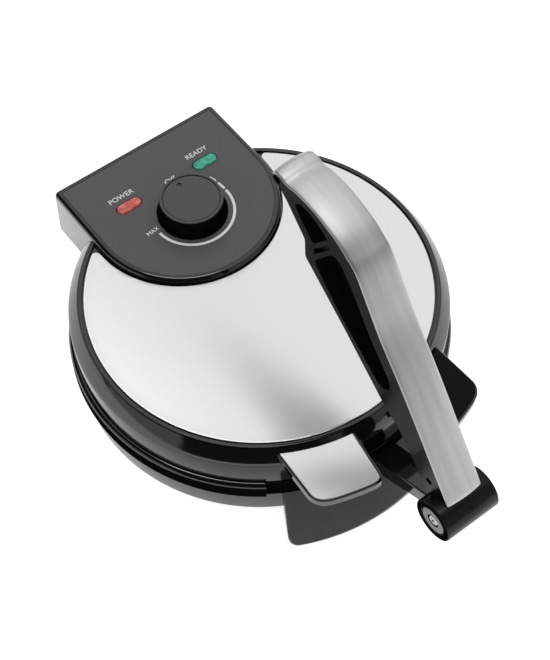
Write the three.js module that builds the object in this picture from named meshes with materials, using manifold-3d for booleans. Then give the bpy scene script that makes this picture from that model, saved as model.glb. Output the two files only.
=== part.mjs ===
// Electric roti maker, millimetres, +Z up, front towards -Y.
// The round body is centred on x = 0, y = 0 while it is built and the table is z = 0; the last group
// then shifts it along Y, so that the origin lies under the middle of the whole machine.
import * as THREE from 'three';
import { mergeVertices } from 'three/addons/utils/BufferGeometryUtils.js';
import Module from 'manifold-3d';

const wasm = await Module();
wasm.setup();

// Driving dimensions
const PLATE_DIAMETER = 254;         // ten inch baking plates
const PLATE_MARGIN = 13;            // from the plate's edge to the outside of the lid
const BEAD_STEP = 3.3;              // how far the bead round the base stands out past the lid
const BEZEL_WIDTH = 12;             // black ring round the brushed disc, seen from above
const FOOT_HEIGHT = 6;
const BASE_WALL_HEIGHT = 24.5;      // base wall below the bead
const RIM_HEIGHT = 16.5;            // bead, from the wall to the parting gap
const PARTING_GAP = 2;              // dark line between base and lid
const LID_WALL_HEIGHT = 23;
const BEZEL_RISE = 11;              // sloping black ring round the steel
const HOUSING_WIDTH = 147;
const HOUSING_BEHIND = 26;          // how far the control housing stands out behind the lid
const KNOB_DIAMETER = 48.6;
const KNOB_HEIGHT = 16;
const HANDLE_REACH = 37;            // how far the handles stand out in front of the lid
const PIVOT_AHEAD = 79;             // lever pivot in front of the lid
const PIVOT_ABOVE_STEEL = 3;
const BARREL_DIAMETER = 32.6;
const BARREL_LENGTH = 44;
const LEVER_LENGTH = 252;           // pivot to the tip, along the back of the lever
const LEVER_WIDTH = 29;

// Clearances and general thicknesses
const SEAT = 0.3;                   // clearance between two pieces that sit together
const WALL = 3;                     // moulded wall
const SHEET = 1;                    // pressed steel sheet
const OVERRUN = 2;                  // how far a cutting body runs past what it cuts
const ROUND = 60;                   // sides of the large turned pieces
const HIDDEN_ROUND = 36;            // sides of the large pieces inside
const KNOB_ROUND = 36;              // sides of the dial and the barrel
const SMALL_ROUND = 24;             // sides of pins and feet
const TINY_ROUND = 16;              // sides of screws

// Radii and levels worked out from the driving dimensions
const PLATE_RADIUS = PLATE_DIAMETER / 2;
const BODY_RADIUS = PLATE_RADIUS + PLATE_MARGIN;
const RIM_RADIUS = BODY_RADIUS + BEAD_STEP;
const STEEL_RADIUS = BODY_RADIUS - BEZEL_WIDTH;
const HOUSING_REAR = BODY_RADIUS + HOUSING_BEHIND;
const PIVOT_REACH = BODY_RADIUS + PIVOT_AHEAD;
const BASE_BOTTOM = FOOT_HEIGHT;
const RIM_BOTTOM = BASE_BOTTOM + BASE_WALL_HEIGHT;
const RIM_TOP = RIM_BOTTOM + RIM_HEIGHT;
const LID_BOTTOM = RIM_TOP + PARTING_GAP;
const BEZEL_BOTTOM = LID_BOTTOM + LID_WALL_HEIGHT;
const STEEL_TOP = BEZEL_BOTTOM + BEZEL_RISE;

const TURN = 2 * Math.PI;
const rad = THREE.MathUtils.degToRad;

// Materials, one per kind of surface in the photograph
const material = (color, roughness, metalness) =>
  new THREE.MeshStandardMaterial({ color, roughness, metalness });
const looks = {
  glossBlack: material(0x0d0d0e, 0.12, 0),
  satinBlack: material(0x232326, 0.42, 0),
  panelGrey: material(0x3a3a3d, 0.55, 0),
  brushedSteel: material(0xd9dadc, 0.3, 1),
  satinSilver: material(0xb9babd, 0.34, 1),
  chrome: material(0xe4e4e6, 0.12, 1),
  bakingPlate: material(0x1b1b1c, 0.5, 0.2),
  castAluminium: material(0xa7a9ac, 0.5, 1),
  rubber: material(0x161616, 0.85, 0),
  redLens: material(0xd0261e, 0.15, 0),
  greenLens: material(0x12a078, 0.15, 0),
  brass: material(0xc9a45a, 0.3, 1),
  ceramic: material(0xe8e4da, 0.6, 0),
};

const model = new THREE.Group();

// Every piece passes through here: shared vertices merged, empty triangles dropped, faces turned outward
function closed(geometry) {
  const plain = geometry.clone();
  for (const name of Object.keys(plain.attributes)) {
    if (name !== 'position') plain.deleteAttribute(name);
  }
  const merged = mergeVertices(plain);
  const position = merged.attributes.position;
  const source = merged.index.array;
  const index = [];
  for (let i = 0; i < source.length; i += 3) {
    const [a, b, c] = [source[i], source[i + 1], source[i + 2]];
    if (a !== b && b !== c && c !== a) index.push(a, b, c);
  }
  let volume = 0;
  const [p, q, r] = [new THREE.Vector3(), new THREE.Vector3(), new THREE.Vector3()];
  for (let i = 0; i < index.length; i += 3) {
    p.fromBufferAttribute(position, index[i]);
    q.fromBufferAttribute(position, index[i + 1]);
    r.fromBufferAttribute(position, index[i + 2]);
    volume += p.dot(q.cross(r));
  }
  if (volume < 0) index.reverse();
  merged.setIndex(index);
  return merged;
}

function toSolid(geometry) {
  const whole = closed(geometry);
  const mesh = new wasm.Mesh({
    numProp: 3,
    vertProperties: new Float32Array(whole.attributes.position.array),
    triVerts: new Uint32Array(whole.index.array),
  });
  return new wasm.Manifold(mesh);
}

function fromSolid(solid) {
  const mesh = solid.getMesh();
  const geometry = new THREE.BufferGeometry();
  geometry.setAttribute('position', new THREE.BufferAttribute(mesh.vertProperties, mesh.numProp));
  geometry.setIndex(new THREE.BufferAttribute(mesh.triVerts, 1));
  return geometry;
}

const join = (...pieces) => fromSolid(pieces.map(toSolid).reduce((a, b) => a.add(b)));
const cut = (piece, ...tools) =>
  fromSolid(tools.map(toSolid).reduce((a, b) => a.subtract(b), toSolid(piece)));
const common = (a, b) => fromSolid(toSolid(a).intersect(toSolid(b)));

function add(name, geometry, look) {
  const mesh = new THREE.Mesh(closed(geometry), look);
  mesh.name = name;
  model.add(mesh);
}

// Shapes turned about Z from [radius, height] pairs
function turned(pairs, sides = ROUND) {
  const points = pairs.map(([radius, height]) => new THREE.Vector2(radius, height));
  return new THREE.LatheGeometry(points, sides).rotateX(TURN / 4);
}

// A solid of revolution that closes on the axis
const turnedSolid = (pairs, sides) => {
  const first = pairs[0];
  const last = pairs[pairs.length - 1];
  return turned([[0, first[1]], ...pairs, [0, last[1]]], sides);
};

const turnedRing = (pairs, sides) => turned([...pairs, pairs[0]], sides);

const disc = (radius, low, high, sides = ROUND) => turnedSolid([[radius, low], [radius, high]], sides);

function block([x0, x1], [y0, y1], [z0, z1]) {
  const geometry = new THREE.BoxGeometry(x1 - x0, y1 - y0, z1 - z0);
  return geometry.translate((x0 + x1) / 2, (y0 + y1) / 2, (z0 + z1) / 2);
}

// An outline in the XY plane raised from one level to another
function raised(outline, low, high) {
  const shape = new THREE.Shape(outline);
  const geometry = new THREE.ExtrudeGeometry(shape, { depth: high - low, bevelEnabled: false });
  return geometry.translate(0, 0, low);
}

// A side outline in the YZ plane, given as [y, z] points, made as wide as the span along X
function sideways(outline, [x0, x1]) {
  const shape = new THREE.Shape(outline.map(([y, z]) => new THREE.Vector2(y, z)));
  const geometry = new THREE.ExtrudeGeometry(shape, { depth: x1 - x0, bevelEnabled: false });
  geometry.applyMatrix4(new THREE.Matrix4().set(0, 0, 1, x0, 1, 0, 0, 0, 0, 1, 0, 0, 0, 0, 0, 1));
  return geometry;
}

// A round bar along X
const bar = (radius, [x0, x1], y, z, sides = SMALL_ROUND) =>
  disc(radius, x0, x1, sides).rotateY(TURN / 4).translate(0, y, z);

// Points on an arc, end points included
function arc(cx, cy, radius, from, to, steps) {
  return Array.from({ length: steps + 1 }, (_, i) => {
    const angle = from + (to - from) * i / steps;
    return new THREE.Vector2(cx + radius * Math.cos(angle), cy + radius * Math.sin(angle));
  });
}

// A wedge seen from above between two angles, each measured from the front (-Y) towards +X
function wedge(from, to, radius, low, high, steps = 12) {
  const outline = [new THREE.Vector2(0, 0), ...arc(0, 0, radius, from - TURN / 4, to - TURN / 4, steps)];
  return raised(outline, low, high);
}

// Rings of equal point count, one above the other, skinned into one body
function loft(rings) {
  const count = rings[0].length;
  const positions = rings.flat().flatMap((v) => [v.x, v.y, v.z]);
  const index = [];
  for (let level = 0; level + 1 < rings.length; level += 1) {
    for (let i = 0; i < count; i += 1) {
      const a = level * count + i;
      const b = level * count + (i + 1) % count;
      index.push(a, b, b + count, a, b + count, a + count);
    }
  }
  const last = (rings.length - 1) * count;
  const flat = (ring) => {
    const [o, u, v] = [ring[0], ring[1].clone().sub(ring[0]).normalize(), new THREE.Vector3()];
    const normal = new THREE.Vector3();
    ring.forEach((point, i) => normal.add(point.clone().sub(o).cross(ring[(i + 1) % count].clone().sub(o))));
    v.crossVectors(normal.normalize(), u);
    return ring.map((point) => new THREE.Vector2(point.clone().sub(o).dot(u), point.clone().sub(o).dot(v)));
  };
  for (const [a, b, c] of THREE.ShapeUtils.triangulateShape(flat(rings[0]), [])) index.push(a, c, b);
  const top = THREE.ShapeUtils.triangulateShape(flat(rings[rings.length - 1]), []);
  for (const [a, b, c] of top) index.push(last + a, last + b, last + c);
  const geometry = new THREE.BufferGeometry();
  geometry.setAttribute('position', new THREE.Float32BufferAttribute(positions, 3));
  geometry.setIndex(index);
  return geometry;
}

// Base: pan, bead, feet
const BASE_TAPER = 0.3;             // the wall leans out a little towards the bead
const BASE_CORNER = 0.6;
const BASE_WALL_INSET = 1;
const BASE_WALL_RADIUS = BODY_RADIUS - BASE_WALL_INSET;
const BEAD_CORNER = 4;
const FRONT_STEP_ANGLE = rad(35);   // the bead stops this far to each side of the front
const FRONT_RIM_STEP = 0.4;         // the thinner rim stands this far proud of the lid wall
const FRONT_RIM_RADIUS = BODY_RADIUS + FRONT_RIM_STEP;
const PLATE_ABOVE_RIM = 0.5;
const LOWER_PLATE_TOP = RIM_TOP + PLATE_ABOVE_RIM;
const PLATE_THICKNESS = 5;
const PLATE_LIP = 1.5;
const ELEMENT_SHARE = 0.65;         // of the plate's radius
const ELEMENT_RADIUS = PLATE_RADIUS * ELEMENT_SHARE;
const ELEMENT_BAR = 4;
const ELEMENT_GAP_ANGLE = rad(24);
const ELEMENT_SIDES = 6;
const ELEMENT_STEPS = 28;
const SHIELD_FLANGE = 9;
const SHIELD_RADIUS = PLATE_RADIUS - SHIELD_FLANGE;
const SHIELD_DEPTH = 11.5;
const SHIELD_SLOPE = 9;
const POST_RADIUS = 6;
const POST_INSET = 20;
const POST_CIRCLE = ELEMENT_RADIUS - POST_INSET;
const POST_ANGLES = [90, 210, 330].map(rad);
const FOOT_RADIUS = 11;
const FOOT_TIP_RADIUS = 9;
const FOOT_INSET = 28;
const FOOT_CIRCLE = BODY_RADIUS - FOOT_INSET;
const FOOT_ANGLES = [45, 135, 225, 315].map(rad);
const FOOT_BORE = 3.6;
const FOOT_SCREW_DEPTH = 3.5;
const FLOOR = BASE_BOTTOM + WALL;
const LOWER_SHIELD_TOP = LOWER_PLATE_TOP - PLATE_THICKNESS - SEAT;
const LOWER_SHIELD_BOTTOM = LOWER_SHIELD_TOP - SHIELD_DEPTH;

const onCircle = (radius, angle) => [radius * Math.cos(angle), radius * Math.sin(angle)];

function basePan() {
  const outer = BASE_WALL_RADIUS;
  const shell = turnedSolid([
    [outer - BASE_TAPER - BASE_CORNER, BASE_BOTTOM],
    [outer - BASE_TAPER, BASE_BOTTOM + BASE_CORNER],
    [outer, RIM_BOTTOM],
    [outer - WALL, RIM_BOTTOM],
    [outer - WALL - BASE_TAPER, FLOOR],
  ]);
  const posts = POST_ANGLES.map((angle) =>
    disc(POST_RADIUS, BASE_BOTTOM, LOWER_SHIELD_BOTTOM - SEAT, SMALL_ROUND)
      .translate(...onCircle(POST_CIRCLE, angle), 0));
  return join(shell, ...posts);
}

function baseRim() {
  const inner = PLATE_RADIUS + SEAT;
  const ring = turnedRing([
    [inner, RIM_BOTTOM],
    [RIM_RADIUS - BEAD_CORNER / 2, RIM_BOTTOM],
    [RIM_RADIUS, RIM_BOTTOM + BEAD_CORNER / 2],
    [RIM_RADIUS, RIM_TOP - BEAD_CORNER],
    [RIM_RADIUS - BEAD_CORNER / 3, RIM_TOP - BEAD_CORNER / 3],
    [RIM_RADIUS - BEAD_CORNER, RIM_TOP],
    [inner, RIM_TOP],
  ]);
  const outside = turnedRing([
    [FRONT_RIM_RADIUS, RIM_BOTTOM - OVERRUN],
    [RIM_RADIUS + OVERRUN, RIM_BOTTOM - OVERRUN],
    [RIM_RADIUS + OVERRUN, RIM_TOP + OVERRUN],
    [FRONT_RIM_RADIUS, RIM_TOP + OVERRUN],
  ]);
  const front = wedge(-FRONT_STEP_ANGLE, FRONT_STEP_ANGLE, 2 * RIM_RADIUS,
    RIM_BOTTOM - 2 * OVERRUN, RIM_TOP + 2 * OVERRUN);
  return cut(ring, common(outside, front));
}

// A cast baking plate, face at one level and body reaching away from it (way is -1 down, 1 up)
function bakingPlate(face, way) {
  return turnedSolid([
    [PLATE_RADIUS - PLATE_LIP, face],
    [PLATE_RADIUS, face + way * PLATE_LIP],
    [PLATE_RADIUS, face + way * PLATE_THICKNESS],
  ], HIDDEN_ROUND);
}

// A tubular heating element, bent into an open ring against the back of the plate
function heatingElement(level) {
  class OpenRing extends THREE.Curve {
    getPoint(t, target = new THREE.Vector3()) {
      const angle = TURN / 4 + ELEMENT_GAP_ANGLE + t * (TURN - 2 * ELEMENT_GAP_ANGLE);
      return target.set(...onCircle(ELEMENT_RADIUS, angle), level);
    }
  }
  const last = TURN * (1 - 1 / ELEMENT_SIDES);
  const section = new THREE.Shape(arc(0, 0, ELEMENT_BAR, 0, last, ELEMENT_SIDES - 1));
  return new THREE.ExtrudeGeometry(section, {
    steps: ELEMENT_STEPS,
    bevelEnabled: false,
    extrudePath: new OpenRing(),
  });
}

// A pressed reflector dish with its flange against the back of the plate
function heatShield(flange, way) {
  const deep = flange + way * SHIELD_DEPTH;
  const floor = SHIELD_RADIUS - SHIELD_SLOPE;
  return turnedSolid([
    [floor, deep],
    [SHIELD_RADIUS, flange + way * SHEET],
    [PLATE_RADIUS - PLATE_LIP, flange + way * SHEET],
    [PLATE_RADIUS - PLATE_LIP, flange],
    [SHIELD_RADIUS - SHEET / 2, flange],
    [floor - SHEET / 2, deep - way * SHEET],
  ], HIDDEN_ROUND);
}

add('base_pan', basePan(), looks.glossBlack);
add('base_rim', baseRim(), looks.glossBlack);
add('lower_plate', bakingPlate(LOWER_PLATE_TOP, -1), looks.bakingPlate);
add('lower_element', heatingElement(LOWER_SHIELD_TOP - ELEMENT_BAR), looks.castAluminium);
add('lower_heat_shield', heatShield(LOWER_SHIELD_TOP, -1), looks.castAluminium);
FOOT_ANGLES.forEach((angle, i) => {
  const [x, y] = onCircle(FOOT_CIRCLE, angle);
  const foot = cut(
    turnedSolid([[FOOT_TIP_RADIUS, 0], [FOOT_RADIUS, BASE_BOTTOM]], SMALL_ROUND),
    disc(FOOT_BORE, -OVERRUN, FOOT_SCREW_DEPTH + SEAT, TINY_ROUND),
  ).translate(x, y, 0);
  add(`foot_${i + 1}`, foot, looks.rubber);
  const screw = disc(FOOT_BORE - SEAT, SHEET, FOOT_SCREW_DEPTH, TINY_ROUND).translate(x, y, 0);
  add(`foot_screw_${i + 1}`, screw, looks.chrome);
});

// Front skirt: a sloping apron under the left handle and the lever, cut off along two radii
const SKIRT_LEFT = rad(-30);
const SKIRT_RIGHT = rad(21);
const SKIRT_REACH = 29;             // how far its lower edge stands out past the lid
const SKIRT_LIP = 2.5;              // upright strip along the lower edge

const SKIRT_TOP = RIM_BOTTOM - SEAT;

// The apron's outer line from its lower edge up to the rim, grown by a gap
const skirtLine = (gap) => [
  [BODY_RADIUS + SKIRT_REACH + gap, BASE_BOTTOM],
  [BODY_RADIUS + SKIRT_REACH + gap, BASE_BOTTOM + SKIRT_LIP + gap],
  [FRONT_RIM_RADIUS + gap, SKIRT_TOP + gap],
];

function frontSkirt() {
  const back = BASE_WALL_RADIUS + SEAT;
  const ring = turnedRing([[back, BASE_BOTTOM], ...skirtLine(0), [back, SKIRT_TOP]]);
  return common(ring, wedge(SKIRT_LEFT, SKIRT_RIGHT, 2 * RIM_RADIUS, 0, STEEL_TOP));
}

add('front_skirt', frontSkirt(), looks.satinBlack);

// Lever pivot: the arm on the base, its eye inside the barrel, and the places both follow
const PIVOT_Y = -PIVOT_REACH;
const PIVOT_Z = STEEL_TOP + PIVOT_ABOVE_STEEL;
const BARREL_RADIUS = BARREL_DIAMETER / 2;
const EYE_RADIUS = 11.4;
const EYE_WIDTH = 20;
const PIN_RADIUS = 4;
const ARM_ANGLE = rad(-40);         // where the arm enters the barrel, from +Y towards +Z
const ARM_SLOPE = 0.6;              // fall of the arm's underside towards the base
const ARM_END = 11;                 // arm thickness at the barrel
const ARM_ROOT = 19;                // arm thickness at the base
const STUB = 8.4;                   // neck of the eye
const ARM_CLEARANCE = 1.2;
const ARM_STANDOFF = BARREL_RADIUS + ARM_CLEARANCE;

const fromPivot = ([y, z]) => [PIVOT_Y + y, PIVOT_Z + z];
const polar = (radius, angle) => [radius * Math.cos(angle), radius * Math.sin(angle)];

// A short run along the arm's direction from the pivot, as a side outline
function alongArm(near, far, thickness) {
  const [cy, cz] = polar(1, ARM_ANGLE);
  const place = (run, side) => [cy * run - cz * side, cz * run + cy * side];
  const half = thickness / 2;
  return [place(near, -half), place(far, -half), place(far, half), place(near, half)].map(fromPivot);
}

function leverArm() {
  const [lowNear, , , topNear] = alongArm(ARM_STANDOFF, ARM_STANDOFF + ARM_END, ARM_END);
  const run = -lowNear[0] - BASE_WALL_RADIUS + WALL;
  const lowFar = [lowNear[0] + run, lowNear[1] - ARM_SLOPE * run];
  const outline = [lowNear, lowFar, [lowFar[0], lowFar[1] + ARM_ROOT], topNear];
  const arm = sideways(outline, [-EYE_WIDTH / 2, EYE_WIDTH / 2]);
  const base = turnedSolid([...skirtLine(SEAT), [FRONT_RIM_RADIUS + SEAT, STEEL_TOP]]);
  return cut(arm, base);
}

function armEye() {
  const eye = bar(EYE_RADIUS, [-EYE_WIDTH / 2, EYE_WIDTH / 2], PIVOT_Y, PIVOT_Z);
  const neck = sideways(alongArm(PIN_RADIUS, ARM_STANDOFF, STUB), [-EYE_WIDTH / 2, EYE_WIDTH / 2]);
  const bore = bar(PIN_RADIUS + SEAT, [-EYE_WIDTH, EYE_WIDTH], PIVOT_Y, PIVOT_Z);
  return cut(join(eye, neck), bore);
}

add('lever_arm', leverArm(), looks.glossBlack);
add('arm_eye', armEye(), looks.glossBlack);

// Rear hinge: a bracket screwed to the pan, two ears and the pin
const HINGE_BEHIND = 9.7;           // hinge axis behind the bead
const HINGE_Y = RIM_RADIUS + HINGE_BEHIND;
const HINGE_DROP = 5;               // hinge axis below the edge of the lid
const HINGE_Z = LID_BOTTOM - HINGE_DROP;
const HINGE_PIN_RADIUS = 2.5;
const EAR_RADIUS = 6;
const EAR_INNER = 30;
const EAR_OUTER = 36;
const LUG_WIDTH = 6;
const BRACKET_HALF = 44;
const BRACKET_LOW = 12;
const BRACKET_PAD = 5;
const EAR_WEB = 3.4;
const HINGE_REACH = EAR_OUTER + SEAT + LUG_WIDTH;

function rearBracket() {
  const pad = turnedRing([
    [BASE_WALL_RADIUS + SEAT, BRACKET_LOW],
    [BASE_WALL_RADIUS + BRACKET_PAD, BRACKET_LOW],
    [BASE_WALL_RADIUS + BRACKET_PAD, RIM_BOTTOM - SEAT],
    [BASE_WALL_RADIUS + SEAT, RIM_BOTTOM - SEAT],
  ]);
  const strip = common(pad, block([-BRACKET_HALF, BRACKET_HALF], [0, HINGE_Y], [0, RIM_TOP]));
  const rise = RIM_RADIUS + SEAT;
  const ear = (x0, x1) => {
    const web = [
      [BASE_WALL_RADIUS - WALL, BRACKET_LOW],
      [rise, BRACKET_LOW],
      [rise + EAR_WEB, RIM_BOTTOM],
      [rise + EAR_WEB, HINGE_Z - EAR_RADIUS],
      [HINGE_Y, HINGE_Z - EAR_RADIUS],
      [HINGE_Y, HINGE_Z + EAR_RADIUS],
      [rise - WALL, HINGE_Z],
    ];
    return join(sideways(web, [x0, x1]), bar(EAR_RADIUS, [x0, x1], HINGE_Y, HINGE_Z));
  };
  const ears = [ear(-EAR_OUTER, -EAR_INNER), ear(EAR_INNER, EAR_OUTER)];
  const inside = turnedSolid([
    [BASE_WALL_RADIUS + SEAT, 0],
    [BASE_WALL_RADIUS + SEAT, RIM_BOTTOM - SEAT],
    [rise, RIM_BOTTOM - SEAT],
    [rise, STEEL_TOP],
  ]);
  const bore = bar(HINGE_PIN_RADIUS + SEAT, [-HINGE_REACH, HINGE_REACH], HINGE_Y, HINGE_Z, TINY_ROUND);
  return cut(join(strip, ...ears), inside, bore);
}

add('rear_bracket', rearBracket(), looks.satinBlack);
const hingePin = bar(HINGE_PIN_RADIUS, [-HINGE_REACH, HINGE_REACH], HINGE_Y, HINGE_Z, TINY_ROUND);
add('hinge_pin', hingePin, looks.chrome);

// Cord bush low on the back of the pan; the photograph shows no cord
const BUSH_RADIUS = 7;
const BUSH_BORE = 3.6;
const BUSH_LENGTH = 12;
const BUSH_FLANGE = 2.5;
const BUSH_X = 62;
const BUSH_Z = BASE_BOTTOM + BASE_WALL_HEIGHT / 2;

function cordBush() {
  const bush = turnedRing([
    [BUSH_BORE, 0],
    [BUSH_RADIUS + BUSH_FLANGE, 0],
    [BUSH_RADIUS + BUSH_FLANGE, BUSH_FLANGE],
    [BUSH_RADIUS, BUSH_FLANGE],
    [BUSH_RADIUS - WALL / 2, BUSH_LENGTH],
    [BUSH_BORE, BUSH_LENGTH],
  ], SMALL_ROUND);
  const turn = Math.asin(BUSH_X / BASE_WALL_RADIUS);
  const upright = bush.rotateX(-TURN / 4).translate(0, BASE_WALL_RADIUS + SEAT, 0);
  return upright.rotateZ(-turn).translate(0, 0, BUSH_Z);
}

add('cord_bush', cordBush(), looks.rubber);

// Control housing outline: straight sides and rear, half round front
const HOUSING_HALF = HOUSING_WIDTH / 2;
const HOUSING_ROUND_INSET = 45;     // centre of its round front, inside the lid's wall
const HOUSING_CENTRE = BODY_RADIUS - HOUSING_ROUND_INSET;
const HOUSING_ABOVE_STEEL = 6;
const HOUSING_TOP = STEEL_TOP + HOUSING_ABOVE_STEEL;
const HOUSING_OVERHANG = 10;        // how far its outer walls reach below the lid
const HOUSING_LOW = LID_BOTTOM - HOUSING_OVERHANG;
const HOUSING_SINK = 14;            // how far it is let into the lid
const HOUSING_IN_LID = STEEL_TOP - HOUSING_SINK;
const SHOULDER = 3.5;               // chamfer between the wall and the panel
const SHOULDER_DROP = 3;
const REAR_CORNER = 4;
const REAR_LEAN = 4;                // how far the rear wall leans forward, from foot to top
const NOTCH_HALF = 47;              // clearance in the rear wall for the hinge bracket
const NOTCH_RISE = 7;
const NOTCH_TOP = LID_BOTTOM + NOTCH_RISE;

// The panel let into its top, with the places of the lamps and the dial
const PANEL_THICKNESS = 2;
const PANEL_INSET = 4.6;
const LAMP_X = 35;
const LAMP_BEHIND = 21;             // lamps behind the centre of the round front
const LAMP_Y = HOUSING_CENTRE + LAMP_BEHIND;
const LAMP_HALF_LENGTH = 10.3;
const LAMP_HALF_WIDTH = 4.5;
const LAMP_ABOVE = 1;
const DIAL_AHEAD = 12;              // dial in front of that centre
const DIAL_Y = HOUSING_CENTRE - DIAL_AHEAD;
const SPINDLE_RADIUS = 3;
const DIAL_MARGIN = 2.7;
const DIAL_RECESS = KNOB_DIAMETER / 2 + DIAL_MARGIN;
const DIAL_RING_THICKNESS = 1.2;
const KNOB_CLEARANCE = 0.6;

const leanAt = (level) => REAR_LEAN * (level - HOUSING_LOW) / (HOUSING_TOP - HOUSING_LOW);

function housingOutline(inset, level = HOUSING_LOW) {
  const half = HOUSING_HALF - inset;
  const rear = HOUSING_REAR - leanAt(level) - inset;
  const corner = Math.max(REAR_CORNER - inset, SEAT);
  return [
    ...arc(half - corner, rear - corner, corner, 0, TURN / 4, 3),
    ...arc(corner - half, rear - corner, corner, TURN / 4, TURN / 2, 3),
    ...arc(0, HOUSING_CENTRE, half, TURN / 2, TURN, 32),
  ];
}

const outlineAt = (inset, level) =>
  housingOutline(inset, level).map((p) => new THREE.Vector3(p.x, p.y, level));

const pill = (grow) => [
  ...arc(LAMP_HALF_LENGTH - LAMP_HALF_WIDTH, 0, LAMP_HALF_WIDTH + grow, -TURN / 4, TURN / 4, 6),
  ...arc(LAMP_HALF_WIDTH - LAMP_HALF_LENGTH, 0, LAMP_HALF_WIDTH + grow, TURN / 4, TURN * 3 / 4, 6),
];
const lampBody = (side, grow, low, high) => raised(pill(grow), low, high).translate(side * LAMP_X, LAMP_Y, 0);

function panelHoles(low) {
  const high = HOUSING_TOP + OVERRUN;
  return [
    lampBody(-1, SEAT, low, high),
    lampBody(1, SEAT, low, high),
    disc(SPINDLE_RADIUS + 2 * SEAT, low, high, SMALL_ROUND).translate(0, DIAL_Y, 0),
  ];
}

function controlHousing() {
  const outside = loft([
    outlineAt(0, HOUSING_LOW),
    outlineAt(0, HOUSING_TOP - SHOULDER_DROP),
    outlineAt(SHOULDER, HOUSING_TOP),
  ]);
  const inside = loft([
    outlineAt(WALL, HOUSING_LOW - OVERRUN),
    outlineAt(WALL, HOUSING_TOP - 2 * WALL),
  ]);
  const lid = turnedSolid([
    [RIM_RADIUS + SHOULDER, 0],
    [RIM_RADIUS + SHOULDER, LID_BOTTOM],
    [BODY_RADIUS + SEAT, LID_BOTTOM],
    [BODY_RADIUS + SEAT, HOUSING_IN_LID],
  ]);
  const pocket = raised(housingOutline(PANEL_INSET, HOUSING_TOP),
    HOUSING_TOP - PANEL_THICKNESS, HOUSING_TOP + OVERRUN);
  const notch = block([-NOTCH_HALF, NOTCH_HALF], [HINGE_Y, HOUSING_REAR + OVERRUN], [0, NOTCH_TOP]);
  return cut(outside, inside, lid, pocket, notch, ...panelHoles(HOUSING_LOW));
}

// Control panel with its two lamps and the dial

function controlPanel() {
  const plate = raised(housingOutline(PANEL_INSET + SEAT, HOUSING_TOP),
    HOUSING_TOP - PANEL_THICKNESS, HOUSING_TOP);
  const recess = disc(DIAL_RECESS, HOUSING_TOP - DIAL_RING_THICKNESS, HOUSING_TOP + OVERRUN, KNOB_ROUND)
    .translate(0, DIAL_Y, 0);
  return cut(plate, recess, ...panelHoles(HOUSING_LOW));
}

add('control_housing', controlHousing(), looks.glossBlack);
add('control_panel', controlPanel(), looks.panelGrey);

const LENS_LOW = HOUSING_TOP - 2 * WALL - SEAT;
const LAMP_HOLDER_HEIGHT = 8;
const LAMP_HOLDER_LOW = LENS_LOW - LAMP_HOLDER_HEIGHT;
for (const [side, name, look] of [[-1, 'power', looks.redLens], [1, 'ready', looks.greenLens]]) {
  add(`${name}_lens`, lampBody(side, 0, LENS_LOW, HOUSING_TOP + LAMP_ABOVE), look);
  add(`${name}_lamp`, lampBody(side, 2 * SEAT, LAMP_HOLDER_LOW, LENS_LOW - SEAT), looks.ceramic);
}

// Thermostat under the panel and the ring that lines the dial's recess
const THERMOSTAT_HALF = 15;
const THERMOSTAT_HEIGHT = 11;
const THERMOSTAT_TOP = HOUSING_TOP - 2 * WALL - SEAT;
const RING_INNER = SPINDLE_RADIUS + 2 * SEAT;

function thermostat() {
  const body = block([-THERMOSTAT_HALF, THERMOSTAT_HALF], [DIAL_Y - THERMOSTAT_HALF, DIAL_Y + THERMOSTAT_HALF],
    [THERMOSTAT_TOP - THERMOSTAT_HEIGHT, THERMOSTAT_TOP]);
  const well = disc(SPINDLE_RADIUS + SEAT, THERMOSTAT_TOP - THERMOSTAT_HEIGHT / 2, THERMOSTAT_TOP + OVERRUN,
    SMALL_ROUND).translate(0, DIAL_Y, 0);
  return cut(body, well);
}

const dialRing = turnedRing([
  [RING_INNER, HOUSING_TOP - DIAL_RING_THICKNESS],
  [DIAL_RECESS - SEAT, HOUSING_TOP - DIAL_RING_THICKNESS],
  [DIAL_RECESS - SEAT, HOUSING_TOP - SEAT],
  [RING_INNER, HOUSING_TOP - SEAT],
], KNOB_ROUND).translate(0, DIAL_Y, 0);

add('thermostat', thermostat(), looks.ceramic);
add('dial_ring', dialRing, looks.glossBlack);

// Knob: plain turned grip, raised ring round a flat face, one index dimple
const KNOB_RADIUS = KNOB_DIAMETER / 2;
const KNOB_BOTTOM = HOUSING_TOP + KNOB_CLEARANCE;
const KNOB_TOP = HOUSING_TOP + KNOB_HEIGHT;
const KNOB_DRAFT = 0.4;
const KNOB_EDGE = 1.2;
const KNOB_RING = 2.3;
const KNOB_FACE_DROP = 0.9;
const KNOB_ROOF = 6;                // solid top of the knob
const INDEX_RADIUS = 1.6;
const INDEX_ANGLE = rad(90);        // the dial is photographed at its off mark, behind

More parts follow.
